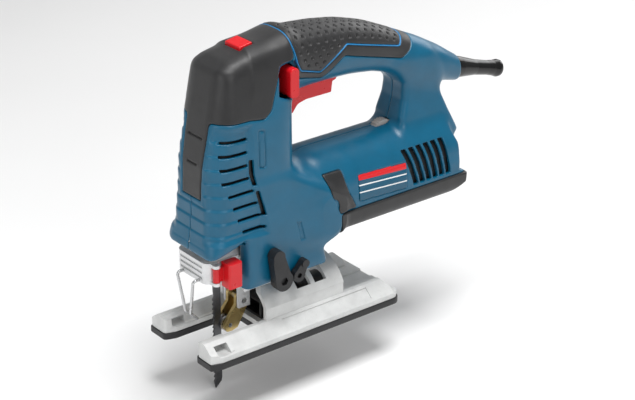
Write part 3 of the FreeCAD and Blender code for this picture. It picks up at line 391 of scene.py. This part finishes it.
def side(space, corners, rounding=0.0):
    """Outline in X and Z."""
    flat = polygon(space.x, space.z, corners)
    return soften(flat, rounding, space.step) if rounding else flat


def front(space, corners, rounding=0.0):
    """Outline in Y and Z."""
    flat = polygon(space.y, space.z, corners)
    return soften(flat, rounding, space.step) if rounding else flat


def smooth_step(value, low, high):
    t = np.clip((value - low) / (high - low), 0, 1)
    return t * t * (3 - 2 * t)


# ---- Shape of the housing -----------------------------------------------------------------
# Outlines are points (x, z), unless a comment says otherwise.
# Front face of the head from its lip upwards, as (z, x)
FRONT_LINE = [(70.7, -20), (88, -18.6), (109, -16.8), (131, -15.6), (149, -12.5), (170, -8.6),
              (191.5, -4.6)]
HEAD_SIDE = [(x, z) for z, x in reversed(FRONT_LINE)] + [
    (8.2, 77.5), (8.2, 41.5), (76.5, 41.5), (74.5, 55.5), (80, 63), (80, 103),
    (76, 112), (54, 119), (54, 206), (48, 206.3), (24, 202.6), (5, 197.4)]
# Right half of the head seen from the front, as (y, z); the left half mirrors it
HEAD_FLANK = [(28, 30), (28.2, 140), (26.6, 156), (23.4, 176), (20.6, 192), (17.5, 200), (10, 207)]
HEAD_FRONT = [(-28, 30)] + HEAD_FLANK + [(-y, z) for y, z in reversed(HEAD_FLANK[1:])]
# How round the front corners are, as (z, share between the sharpest and the roundest)
ROUNDNESS = [(74, 0.0), (85, 0.3), (109, 0.48), (140, 0.66), (158, 0.95), (166, 1.0)]
CORNER_DEPTH = (9, 15)      # length of the corner's ellipse at its sharpest, and what is added
CORNER_WIDTH = (13, 8)
COLUMN_BACK = 54.5          # rear of the head beside the hand gap
COLUMN_ROUND = 22.0
BARREL_SIDE = [(20, 30), (168, 30), (184.5, 63.5), (196, 69.4), (196.4, 77.6), (190.4, 79.6),
               (189.6, 100), (185, 112), (178, 119), (172, 150), (20, 150)]
STRUT_SIDE = [(148, 104), (146.5, 124), (150, 136), (151, 148), (144, 163), (170, 164),
              (182, 140.4), (190.4, 121), (198.6, 104.6), (191, 96)]
# Sections of the handle: x, height of the middle, half height, half width
HANDLE = [(30, 183.0, 22.5, 22.0), (50, 184.4, 21.7, 21.4), (66, 184.8, 20.9, 20.0),
          (84, 184.2, 20.0, 19.4), (104, 182.4, 18.6, 19.2), (125, 178.0, 17.0, 17.8),
          (148, 169.6, 15.4, 16.4), (170, 160.4, 14.7, 15.4), (188, 152.2, 13.0, 13.6),
          (200, 146.6, 10.6, 11.2), (206, 143.8, 9.4, 9.8)]
HANDLE_POWER = 2.35         # squareness of the handle's section
HANDLE_END = 205.6
HOOD_SIDE = [(-60, 160.2), (12, 160.6), (24, 158.8), (30, 163), (36.5, 181), (39.6, 190.5),
             (50.4, 191.5), (49.6, 230), (-60, 230)]
BAND_SIDE = [(50.2, 230), (50.6, 200), (53.6, 178), (76.8, 171.2), (93, 183.6), (144, 169.2),
             (152, 173), (158, 180), (161, 194), (163, 230)]
PAD_SIDE = [(49.0, 230), (50.8, 200), (53.4, 188), (56.4, 182.6), (73.6, 177.2), (95.6, 191.0),
            (142.6, 178.4), (148.0, 184), (150.6, 196), (152, 230)]
BAND_FRONT = 45             # where the skins of the handle begin
ACCENT = 0.9                # width of the line round the pad
PANEL_EDGE = [(-60, 80.4), (25.4, 80.4), (24.6, 87), (18.0, 113), (14.6, 124.5), (14.4, 133),
              (14.4, 158), (-60, 158)]
PANEL_DEPTH = 1.8
FACET = 3.0                 # width of the slanting strip that borders the panel
VENT_FIRST = 85.5
VENT_PITCH = 9.0
VENT_COUNT = 8
VENT_HALF = 0.95
LEDGE = 1.0                 # each strip between two slots leans back by this much
STRIPE = [(82.9, 77.4), (83.8, 60), (186, 60), (196.8, 68), (199, 77.2)]
PATCH = [(71.3, 107), (87, 106.6), (88.4, 98), (91, 90), (97, 78.5), (81.6, 78.5), (74.6, 93.3)]
LABEL_SIDE = [(99, 100.5), (99, 82), (141, 80), (141, 98.5)]
FLANK = 12                  # stripes and motor vents stay further than this from the mid-plane
LABEL_REACH = 10            # label and lock pocket stay further than this from it, on the left
# Holes for the two buttons: x, y and z from and to, and the rounding of their edges
TOP_BUTTON_HOLE = (17.7, 28.3, -8.3, 8.3, 192, 220, 1)
LOCK_HOLE = (44.1, 51.9, -40, -10, 166.6, 187.4, 2)


def handle_centre(x, column):
    """Centre height (1), half height (2) or half width (3) of the handle at x, smoothly."""
    stations = np.array(HANDLE, np.float32)
    dense = np.arange(20, 217, 0.5, dtype=np.float32)
    values = np.interp(dense, stations[:, 0], stations[:, column])
    kernel = np.hanning(33)
    kernel /= kernel.sum()
    reach = len(kernel) // 2
    first = 2 * values[0] - values[1:reach + 1][::-1]
    last = 2 * values[-1] - values[-reach - 1:-1][::-1]
    values = np.convolve(np.concatenate([first, values, last]), kernel, "valid")
    return np.interp(x, dense, values).astype(np.float32)


def handle_field(space):
    """Bent handle of rounded-square section, which tapers to the cord."""
    centre = handle_centre(space.x, 1)
    tall = handle_centre(space.x, 2)
    wide = handle_centre(space.x, 3)
    across = np.abs(space.y) / wide
    up = np.abs(space.z - centre) / tall
    power = np.float32(HANDLE_POWER)
    size = (across ** power + up ** power) ** (1 / power)
    body = (size - 1) * np.minimum(tall, wide) + 6 * (1 - smooth_step(space.x, 30, 58))
    return meet(meet(body, space.x - HANDLE_END, 3.0), 25 - space.x, 0.5)


def front_corners(space):
    """Elliptical front corners, which grow rounder towards the top."""
    heights, shares = zip(*ROUNDNESS)
    share = np.interp(space.z, heights, shares).astype(np.float32)
    levels, places = zip(*FRONT_LINE)
    behind = space.x - np.interp(space.z, levels, places).astype(np.float32)
    deep = CORNER_DEPTH[0] + CORNER_DEPTH[1] * share
    wide = CORNER_WIDTH[0] + CORNER_WIDTH[1] * share
    ahead = np.maximum(deep - behind, 0) / deep
    across = np.maximum(np.abs(space.y) - (HALF_HEAD - wide), 0) / wide
    return (np.sqrt(ahead ** 2 + across ** 2) - 1) * wide


def column_corners(space):
    """Large round rear corners beside the hand gap."""
    back = np.maximum(space.x - (COLUMN_BACK - COLUMN_ROUND), 0)
    across = np.maximum(np.abs(space.y) - (HALF_HEAD - COLUMN_ROUND), 0)
    rounded = np.sqrt(back ** 2 + across ** 2) - COLUMN_ROUND
    # the corners fade out downwards, into the barrel
    return rounded - 34 * (1 - smooth_step(space.z, 84, 122))


def head_field(space):
    """Head and leg: side and front outlines with their rounded corners."""
    body = meet(side(space, HEAD_SIDE, 3), front(space, HEAD_FRONT, 5), 9)
    body = meet(body, front_corners(space), 3)
    body = meet(body, column_corners(space), 5)
    # flared lip round the nose opening and a slightly pinched waist above the leg
    lip = np.exp(-((space.z - 74) / 4.5) ** 2) * (1 - smooth_step(space.x, 2, 12))
    waist = np.exp(-((space.z - 60) / 13) ** 2) * smooth_step(space.x, 12, 30)
    return body - 0.7 * lip + 0.9 * waist


def barrel_field(space):
    """Round motor barrel on a square foot."""
    reach = np.sqrt(space.y ** 2 + (space.z - MOTOR_AXIS) ** 2) - HALF_BODY
    floor = 63.5
    square = front(space, [(-HALF_BODY, floor), (HALF_BODY, floor), (HALF_BODY, MOTOR_AXIS),
                           (-HALF_BODY, MOTOR_AXIS)], 8)
    section = unite(reach, square, 3)
    body = meet(section, side(space, BARREL_SIDE, 1.5), 2.5)
    # it shrinks inside the head, so that only its rear part shows
    return body + 7 * (1 - smooth_step(space.x, 40, 76))


def strut_field(space):
    """Rear post between the barrel and the handle, narrower towards the top."""
    half = 17.0 - 4.6 * smooth_step(space.z, 104, 150)
    body = side(space, STRUT_SIDE, 2)
    return meet(body, np.abs(space.y) - half, 5)


def housing_field(space):
    """The whole outer form with its fillets."""
    body = unite(head_field(space), barrel_field(space), 12)
    body = unite(body, strut_field(space), 7)
    return unite(body, handle_field(space), 11)


def panel_recess(space, form):
    """Front part of the flank, stepped in behind a slanting facet."""
    region = side(space, PANEL_EDGE)
    depth = PANEL_DEPTH * np.clip(-region / FACET, 0, 1)
    return form + depth * smooth_step(np.abs(space.y), 14, 22)


def louvres(space, form, soft):
    """Strips that lean back between the slots and wrap the front corners."""
    rows = (space.z - VENT_FIRST) / VENT_PITCH
    share = rows - np.floor(rows)
    lean = LEDGE * (1 - share) * smooth_step(share * VENT_PITCH, 0, 0.9)
    lean = lean * (rows > 0) * (rows < VENT_COUNT)
    gate = smooth_step(-side(space, PANEL_EDGE), 3.2, 4.6) * smooth_step(soft, 2.2, 4.0)
    return form + lean * gate


def hood_space_field(space):
    """Region of the soft hood and of its tongue down the front."""
    upper = side(space, HOOD_SIDE, 3.0)
    half = 10.0 + 1.6 * smooth_step(space.z, 112, 158)
    tongue = np.maximum(np.abs(space.y) - half, 108.6 - space.z)
    tongue = np.maximum(tongue, np.maximum(space.z - 170, space.x + 4))
    return unite(upper, tongue, 3.0)


def soft_field(space):
    """Region of every soft skin on the housing."""
    return np.minimum(hood_space_field(space), np.maximum(side(space, BAND_SIDE, 3.0), BAND_FRONT - space.x))


def vents(space):
    """Eight slots through each flank of the panel; the lower ones reach further back."""
    slots = np.float32(1e3)
    for row in range(VENT_COUNT):
        middle = VENT_FIRST + row * VENT_PITCH
        start = max(-8.3, 5.6 - 3.4 * row)
        end = max(11.0, 23.5 - 2.85 * row)
        slot = block(space, start, end, -40, 40, middle - VENT_HALF, middle + VENT_HALF, 0.5)
        slots = np.minimum(slots, slot)
    return np.maximum(slots, 18 - np.abs(space.y))


def motor_vents(space):
    """Six leaning slots on both flanks, which fan out upwards."""
    low, high, width = 80.3, 106, 4.4
    slots = np.float32(1e3)
    for column in range(6):
        foot = 147.4 + column * 5.85
        top = 138.8 + column * 6.6
        corners = [(foot, low), (foot + width, low), (top + width, high), (top, high)]
        slots = np.minimum(slots, side(space, corners))
    return np.maximum(slots, FLANK - np.abs(space.y))


def openings(space):
    """Everything that is cut out of the shells: list of (field, edge radius)."""
    cuts = [(block(space, -18.4, 9.2, -19, 19, 60, 79.5, 3), 1.0),              # nose
            (block(space, -10.6, 11.8, -23.3, 23.3, 75.7, 84, 1), 0.4),         # gear case
            (block(space, 7.2, 10.8, -17, 17, 30, 79, 0.5), 0.5),               # front of the leg
            (block(space, 7.2, 68.5, -17, 17, 30, 46, 0.5), 0.5),               # underside of the leg
            (block(space, 53.6, 96.5, -8.4, 8.4, 148, 172, 1), 0.8),            # trigger
            (block(space, *LOCK_HOLE), 0.6),
            (block(space, *TOP_BUTTON_HOLE), 0.6)]
    wheel = np.sqrt((space.x - 141) ** 2 + (space.z - 112.6) ** 2) - 9.4
    cuts.append((np.maximum(wheel, np.abs(space.y) - 3.4), 0.4))
    # pivots of the two levers on the left flank
    for x, z in ((32.0, 46.0), (45.8, 45.3)):
        hole = np.sqrt((space.x - x) ** 2 + (space.z - z) ** 2) - 2.7
        cuts.append((np.maximum(hole, space.y + 15), 0.4))
    cuts.append((cord_bore(space), 0.6))
    return cuts


def cord_bore(space):
    """Falling bore for the bend relief at the end of the handle."""
    end_x, end_z = 206, 143.8
    fall = math.radians(14.5)
    along = (space.x - end_x) * math.cos(fall) - (space.z - end_z) * math.sin(fall)
    across = (space.x - end_x) * math.sin(fall) + (space.z - end_z) * math.cos(fall)
    return np.maximum(np.sqrt(space.y ** 2 + across ** 2) - 6.3, -30 - along)


def lock_pocket(space, form):
    """Sunk frame ahead of and round the lock-on button on the left flank."""
    pocket = side(space, [(36.8, 170), (43, 167), (52.6, 165.4), (52.6, 190.6), (44, 191),
                          (38.4, 189.5)], 1.6)
    return np.maximum(np.maximum(pocket, -form - 3.2), space.y + LABEL_REACH)


def flank_marks(space, form):
    """Blank tray outline behind the vents, two slits in the facet and a pointer: (field, edge)."""
    tray = side(space, [(18.8, 152.4), (18.8, 127.6), (23.6, 127), (23.6, 151.6)], 1.6)
    marks = [(np.maximum(np.maximum(np.abs(tray) - 0.5, -form - 0.9), space.y), 0.3)]
    for slit in ([(11.8, 134), (14.4, 134), (14.8, 124.5), (16.8, 116), (14.2, 116), (12.0, 124.5)],
                 [(15.9, 112), (18.4, 112), (23.4, 94), (20.6, 94)]):
        marks.append((np.maximum(side(space, slit), 18 - np.abs(space.y)), 0.3))
    pointer = side(space, [(47.4, 82), (50.4, 81.4), (53.8, 68.2), (50.6, 67.6)])
    marks.append((np.maximum(np.maximum(pointer, -form - 1.0), space.y), 0.4))
    return marks


def make_shells():
    """Hollow shells, thinner where a soft skin lies on them, cut open and split in two."""
    space = Space((-25, -31.5, 39), (209, 31.5, 209), COARSE)
    form = panel_recess(space, housing_field(space))
    form = meet(form, 41.3 - space.z, 2.0)
    soft = soft_field(space)
    outer = meet(form, unite(form + SKIN, SEAM - soft, 0.5), 0.8)
    slatted = louvres(space, form, soft)
    cavity = np.minimum(np.maximum(slatted + WALL, WALL - soft), form + SKIN + WALL)
    shell = carve(meet(outer, slatted, 0.3), cavity, 0.4)
    shell = carve(shell, vents(space), 0.3)
    shell = carve(shell, motor_vents(space), 0.4)
    shell = carve(shell, lock_pocket(space, form), 1.2)
    for cut, edge in flank_marks(space, form) + openings(space):
        shell = carve(shell, cut, edge)
    stripes = bumper_region(space)
    shell = carve(shell, np.maximum(stripes - SEAM, -form - 0.9), 0.4)
    label_bed = np.maximum(-form - 0.5, space.y + LABEL_REACH)
    shell = carve(shell, np.maximum(side(space, LABEL_SIDE, 1.5) - SEAM, label_bed), 0.3)
    for name, half in (("left_shell", space.y), ("right_shell", -space.y)):
        solid = meet(shell, half + SPLIT, 0.7)
        add_solid(name + "_skin", space, solid, "housing_blue", HOUSING, [name])


def make_shade_sheets():
    """Black sheets inside the walls, behind the slots of the head and of the motor: painted shade that makes
    the slots read dark.
    """
    margin = 2                  # the voxels reach past the box by this much
    # each black sheet is painted shade, standing in for the dark inside of the housing seen through the slots
    for name, box, depth in (("head_shade_sheet", (-12, 26.5, -29, 29, 79, 156), WALL + LEDGE + 0.7),
                             ("motor_shade_sheet", (135, 184, -29, 29, 78, 108), WALL + 0.5)):
        low, high = box[::2], box[1::2]
        space = Space([v - margin for v in low], [v + margin for v in high], COARSE)
        form = panel_recess(space, housing_field(space))
        sheet = meet(np.abs(form + depth + SHADE_SHEET_HALF) - SHADE_SHEET_HALF, block(space, *box, 0.5), 0.2)
        for prefix, away in (("left_", space.y), ("right_", -space.y)):
            add_solid(prefix + name, space, meet(sheet, away + 9, 0.2), "black_plastic", HOUSING, [])


def bumper_region(space):
    """Stripe along the barrel and the patch ahead of it, on both flanks."""
    both = np.minimum(side(space, STRIPE, 0.6), side(space, PATCH, 0.8))
    return np.maximum(both, FLANK - np.abs(space.y))


def make_hood():
    """Soft hood over the head, with its tongue."""
    space = Space((-25, -31, 104), (56, 31, 209), FINE)
    form = housing_field(space)
    region = hood_space_field(space)
    skin = meet(form, region + SEAM, 1.0)
    skin = carve(skin, form + SKIN, 0.3)
    # two short recess marks on the tongue
    for height, half in ((149.0, 7.9), (131.5, 5.2)):
        mark = block(space, -40, 0, -half, half, height - 0.55, height + 0.55, 0.3)
        skin = carve(skin, np.maximum(mark, -form - 0.9), 0.5)
    skin = carve(skin, block(space, *TOP_BUTTON_HOLE), 0.7)
    skin = carve(skin, lock_pocket(space, form), 1.0)
    skin = carve(skin, block(space, *LOCK_HOLE), 0.6)
    add_solid("front_hood_skin", space, skin, "dark_rubber", HOUSING, ["front_hood"])


def dimples(space, centre):
    """Staggered round pits across the top of the handle."""
    pitch_x, pitch_s = 6.6, 9.0         # along the handle and round it
    round_radius = 24.0
    pit_radius, pit_depth = 1.4, 1.05
    angle = np.arctan2(space.y, np.maximum(space.z - centre + 6, 0.5))
    around = angle * round_radius
    deepest = np.float32(0)
    for shift in (0.0, 0.5):
        off_x = (space.x / pitch_x + shift) % 1.0 - 0.5
        off_s = (around / pitch_s + shift) % 1.0 - 0.5
        away = (off_x * pitch_x) ** 2 + (off_s * pitch_s) ** 2
        pit = np.maximum(1 - away / pit_radius ** 2, 0)
        deepest = np.maximum(deepest, pit)
    return pit_depth * np.sqrt(deepest + 1e-6) * (deepest > 0)


def make_grip():
    """Band round the top of the handle, accent line and dimpled pad."""
    space = Space((46, -25, 164), (166, 25, 209), FINEST)
    form = housing_field(space)
    band = np.maximum(side(space, BAND_SIDE, 3.0), BAND_FRONT - space.x)
    pad = side(space, PAD_SIDE, 2.4)
    hood = hood_space_field(space)
    layer = carve(form, form + SKIN, 0.3)
    trim = meet(layer - 0.15, np.maximum(pad - ACCENT, -pad), 0.5)
    trim = np.maximum(trim, np.minimum(band, pad - ACCENT))
    rest = meet(meet(layer, band + SEAM, 0.8), ACCENT + SEAM - pad, 0.7)
    rest = np.maximum(rest, SEAM - hood)
    add_solid("handle_band_skin", space, rest, "dark_rubber", HOUSING, ["handle_band"])
    add_solid("accent_trim_skin", space, trim, "accent_blue", HOUSING, ["accent_trim"])
    inner = np.maximum(pad + SEAM, BAND_FRONT - space.x)
    raised = form - 0.25 * smooth_step(-pad, 0.5, 2.5)
    pits = dimples(space, handle_centre(space.x, 1)) * smooth_step(-pad, 2.2, 3.4)
    top = meet(raised + pits, inner, 0.9)
    top = carve(top, form + SKIN, 0.3)
    add_solid("grip_pad_skin", space, top, "dark_rubber", HOUSING, ["grip_pad"])


def make_inlays():
    """Bumper stripes and label film."""
    space = Space((64, -31, 58), (202, 31, 117), FINE)
    form = housing_field(space)
    raised = meet(form - 0.45, bumper_region(space) + SEAM, 1.0)
    raised = carve(raised, form + 0.8, 0.2)
    add_solid("side_bumper_skin", space, raised, "dark_rubber", HOUSING, ["side_bumpers"])
    film = np.maximum(side(space, LABEL_SIDE, 1.5) + SEAM, space.y + LABEL_REACH)
    film = carve(meet(form - 0.05, film, 0.3), form + 0.45, 0.1)
    add_solid("side_label_film", space, film, "label_film", HOUSING, ["label_plate"])


# ---- From fields to meshes ----------------------------------------------------------------
def add_solid(name, space, field, slot, body, stands_for):
    """Surface of a field as a smooth mesh piece, which may replace CAD nodes."""
    wall = np.broadcast_to(field, (space.x.size, space.y.size, space.z.size)).astype(np.float32)
    wall = np.clip(wall, -3 * space.step, 3 * space.step)
    wall[0], wall[-1] = 2, 2
    wall[:, 0], wall[:, -1] = 2, 2
    wall[:, :, 0], wall[:, :, -1] = 2, 2
    grid = openvdb.FloatGrid(2.0)
    grid.copyFromArray(np.ascontiguousarray(wall))
    points, triangles, quads = grid.convertToPolygons(0.0, 0.0)
    points = (points * space.step + space.low) * MM
    faces = np.concatenate([quads[:, [0, 1, 2]], quads[:, [0, 2, 3]], triangles]) if len(triangles) else quads
    mesh = bpy.data.meshes.new(name)
    mesh.from_pydata(points.tolist(), [], faces.tolist())
    mesh.update()
    piece = bpy.data.objects.new(name, mesh)
    bpy.context.scene.collection.objects.link(piece)
    if signed_volume(points, faces) < 0:
        mesh.flip_normals()
    drop_crumbs(mesh)
    mesh.polygons.foreach_set("use_smooth", [True] * len(mesh.polygons))
    finish_piece(piece, slot, body, stands_for)


def signed_volume(points, faces):
    """Six times the volume, negative where the faces look inwards."""
    a, b, c = points[faces[:, 0]], points[faces[:, 1]], points[faces[:, 2]]
    volume = np.einsum("ij,ij->i", a, np.cross(b, c)).sum()
    if faces.shape[1] == 4:
        d = points[faces[:, 3]]
        volume += np.einsum("ij,ij->i", a, np.cross(c, d)).sum()
    return volume


def drop_crumbs(mesh):
    """Remove loose islands of the surface that have few vertices."""
    fewest = 60
    count = len(mesh.vertices)
    ends = np.zeros(len(mesh.edges) * 2, np.int64)
    mesh.edges.foreach_get("vertices", ends)
    ends = ends.reshape(-1, 2)
    label_of = np.arange(count)
    while True:
        low = np.minimum(label_of[ends[:, 0]], label_of[ends[:, 1]])
        before = label_of.copy()
        np.minimum.at(label_of, ends[:, 0], low)
        np.minimum.at(label_of, ends[:, 1], low)
        label_of = label_of[label_of]
        if (before == label_of).all():
            break
    names, sizes = np.unique(label_of, return_counts=True)
    small = set(names[sizes < fewest].tolist())
    if small:
        work = bmesh.new()
        work.from_mesh(mesh)
        doomed = [v for v, group in zip(work.verts, label_of.tolist()) if group in small]
        bmesh.ops.delete(work, geom=doomed, context="VERTS")
        work.to_mesh(mesh)
        work.free()


def finish_piece(piece, slot, body, stands_for):
    """Material, body and the CAD nodes that the piece replaces."""
    piece.data.materials.clear()
    piece.data.materials.append(materials[slot])
    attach(piece, body)
    if stands_for:
        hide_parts(*stands_for)


def body_of(node):
    return next(name for name, members in frame["record"]["behaviour"]["bodies"].items() if node in members)


def slot_of(node):
    return next(entry["material_slot"] for entry in frame["record"]["subparts"] if entry["node"] == node)


# CAD pieces that get eased edges, with the width of the easing
EASED = {"gear_cover": 0.3, "base_plate": 0.5, "slide_shoe": 0.6, "gear_case": 0.4, "release_lever": 0.5,
         "orbit_lever": 0.7, "blower_lever": 0.5, "trigger": 0.7, "lock_button": 0.8, "lamp_button": 0.8,
         "roller_bracket": 0.35, "saddle": 0.4, "blade_clamp": 0.4, "saw_blade": 0.08, "thumbwheel": 0.2}
CASE_FLOOR = 75.5           # the metal case is narrower above this height
CASE_SQUEEZE = 0.74


def eased_copy(node, width):
    """The CAD piece with its planar faces joined and every sharp edge eased."""
    mesh = bpy.data.meshes.new(node + "_eased")
    work = bmesh.new()
    work.from_mesh(frame["nodes"][node].data)
    bmesh.ops.remove_doubles(work, verts=work.verts, dist=0.004 * MM)
    bmesh.ops.dissolve_limit(work, angle_limit=math.radians(0.6), verts=work.verts, edges=work.edges)
    if node in ("gear_case", "gear_cover"):
        # drawn in from the moulded walls, which are rounder than the CAD's
        for vertex in work.verts:
            if vertex.co.z > CASE_FLOOR * MM:
                vertex.co.y *= CASE_SQUEEZE
    work.to_mesh(mesh)
    work.free()
    piece = bpy.data.objects.new(node + "_eased", mesh)
    bpy.context.scene.collection.objects.link(piece)
    bevel = piece.modifiers.new("ease", "BEVEL")
    bevel.width = width * MM
    bevel.segments = 2
    bevel.limit_method = "ANGLE"
    bevel.angle_limit = math.radians(32.0)
    mesh.polygons.foreach_set("use_smooth", [True] * len(mesh.polygons))
    weighted = piece.modifiers.new("normals", "WEIGHTED_NORMAL")
    weighted.keep_sharp = True
    finish_piece(piece, slot_of(node), body_of(node), [node])


def dress_cad():
    """CAD pieces whose shape is right keep their mesh and get the full material."""
    for node, piece in frame["nodes"].items():
        piece.data.materials.clear()
        piece.data.materials.append(materials[slot_of(node)])


# ---- Stage, light and camera --------------------------------------------------------------
def make_stage():
    """Pale sheet under the tool, which curves up behind it."""
    size, bend, wall = 4.0, 0.6, 3.0
    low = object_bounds()[0].z - 0.001
    mesh = bpy.data.meshes.new("studio_floor")
    rows = [(y * size / 12 - size / 2, low) for y in range(12)]
    for t in range(9):
        angle = t * math.pi / 16
        rows.append((size / 2 + math.sin(angle) * bend, low + (1 - math.cos(angle)) * bend))
    rows += [(size / 2 + bend, low + wall)]
    points = [(x, y, z) for y, z in rows for x in (-size, size)]
    faces = [(2 * i, 2 * i + 1, 2 * i + 3, 2 * i + 2) for i in range(len(rows) - 1)]
    mesh.from_pydata(points, [], faces)
    floor = bpy.data.objects.new("studio_floor", mesh)
    bpy.context.scene.collection.objects.link(floor)
    paint = Paint("studio_paper", (0.86, 0.86, 0.86), 0.85)
    paint.vary(paint.noise(300.0, 2.0), 0.01)
    mesh.materials.append(paint.material)


def add_light(name, place, target, size, power):
    data = bpy.data.lights.new(name, "AREA")
    data.shape = "RECTANGLE"
    data.size, data.size_y = size
    data.energy = power
    lamp = bpy.data.objects.new(name, data)
    bpy.context.scene.collection.objects.link(lamp)
    lamp.location = place
    aim = Vector(target) - Vector(place)
    lamp.rotation_euler = aim.to_track_quat("-Z", "Y").to_euler()


def make_lights():
    """Soft boxes above, beside, ahead and behind, and a dim white surround."""
    centre = (0.09, 0.0, 0.10)
    add_light("top_box", (0.10, -0.25, 1.35), centre, (0.7, 0.5), 17)
    add_light("key_box", (-0.30, -1.45, 0.75), centre, (0.6, 0.5), 5)
    add_light("front_box", (-1.35, -0.15, 0.50), centre, (0.6, 0.9), 4)
    add_light("rear_box", (1.25, 0.35, 0.7), centre, (0.8, 0.8), 5)
    world = bpy.data.worlds.new("studio")
    bpy.context.scene.world = world
    world.use_nodes = True
    surround = world.node_tree.nodes["Background"].inputs
    surround["Color"].default_value = (1.0, 1.0, 1.0, 1.0)
    surround["Strength"].default_value = 0.30
    bpy.context.scene.view_settings.view_transform = "Standard"


def make_camera():
    """Camera at the photograph's angle, fitted to the straight edges of the foot and the housing."""
    place = Vector((-612.4, -878.6, 600.0)) * MM
    right = Vector((0.7833, -0.6216, 0.0020)).normalized()
    back = Vector((-0.5640, -0.7093, 0.4228)).normalized()
    data = bpy.data.cameras.new("photo_camera")
    data.sensor_width = 36.0
    data.lens = 104.6
    data.clip_end = 20.0
    camera = bpy.data.objects.new("photo_camera", data)
    bpy.context.scene.collection.objects.link(camera)
    up = back.cross(right).normalized()
    right = up.cross(back).normalized()
    turn = Matrix((right, up, back)).transposed().to_4x4()
    camera.matrix_world = Matrix.Translation(place) @ turn
    bpy.context.scene.camera = camera


dress_cad()
make_shells()
make_hood()
make_grip()
make_inlays()
# black sheets of painted shade behind the vent slots
make_shade_sheets()
for node_name, ease in EASED.items():
    eased_copy(node_name, ease)
make_stage()
make_lights()
make_camera()
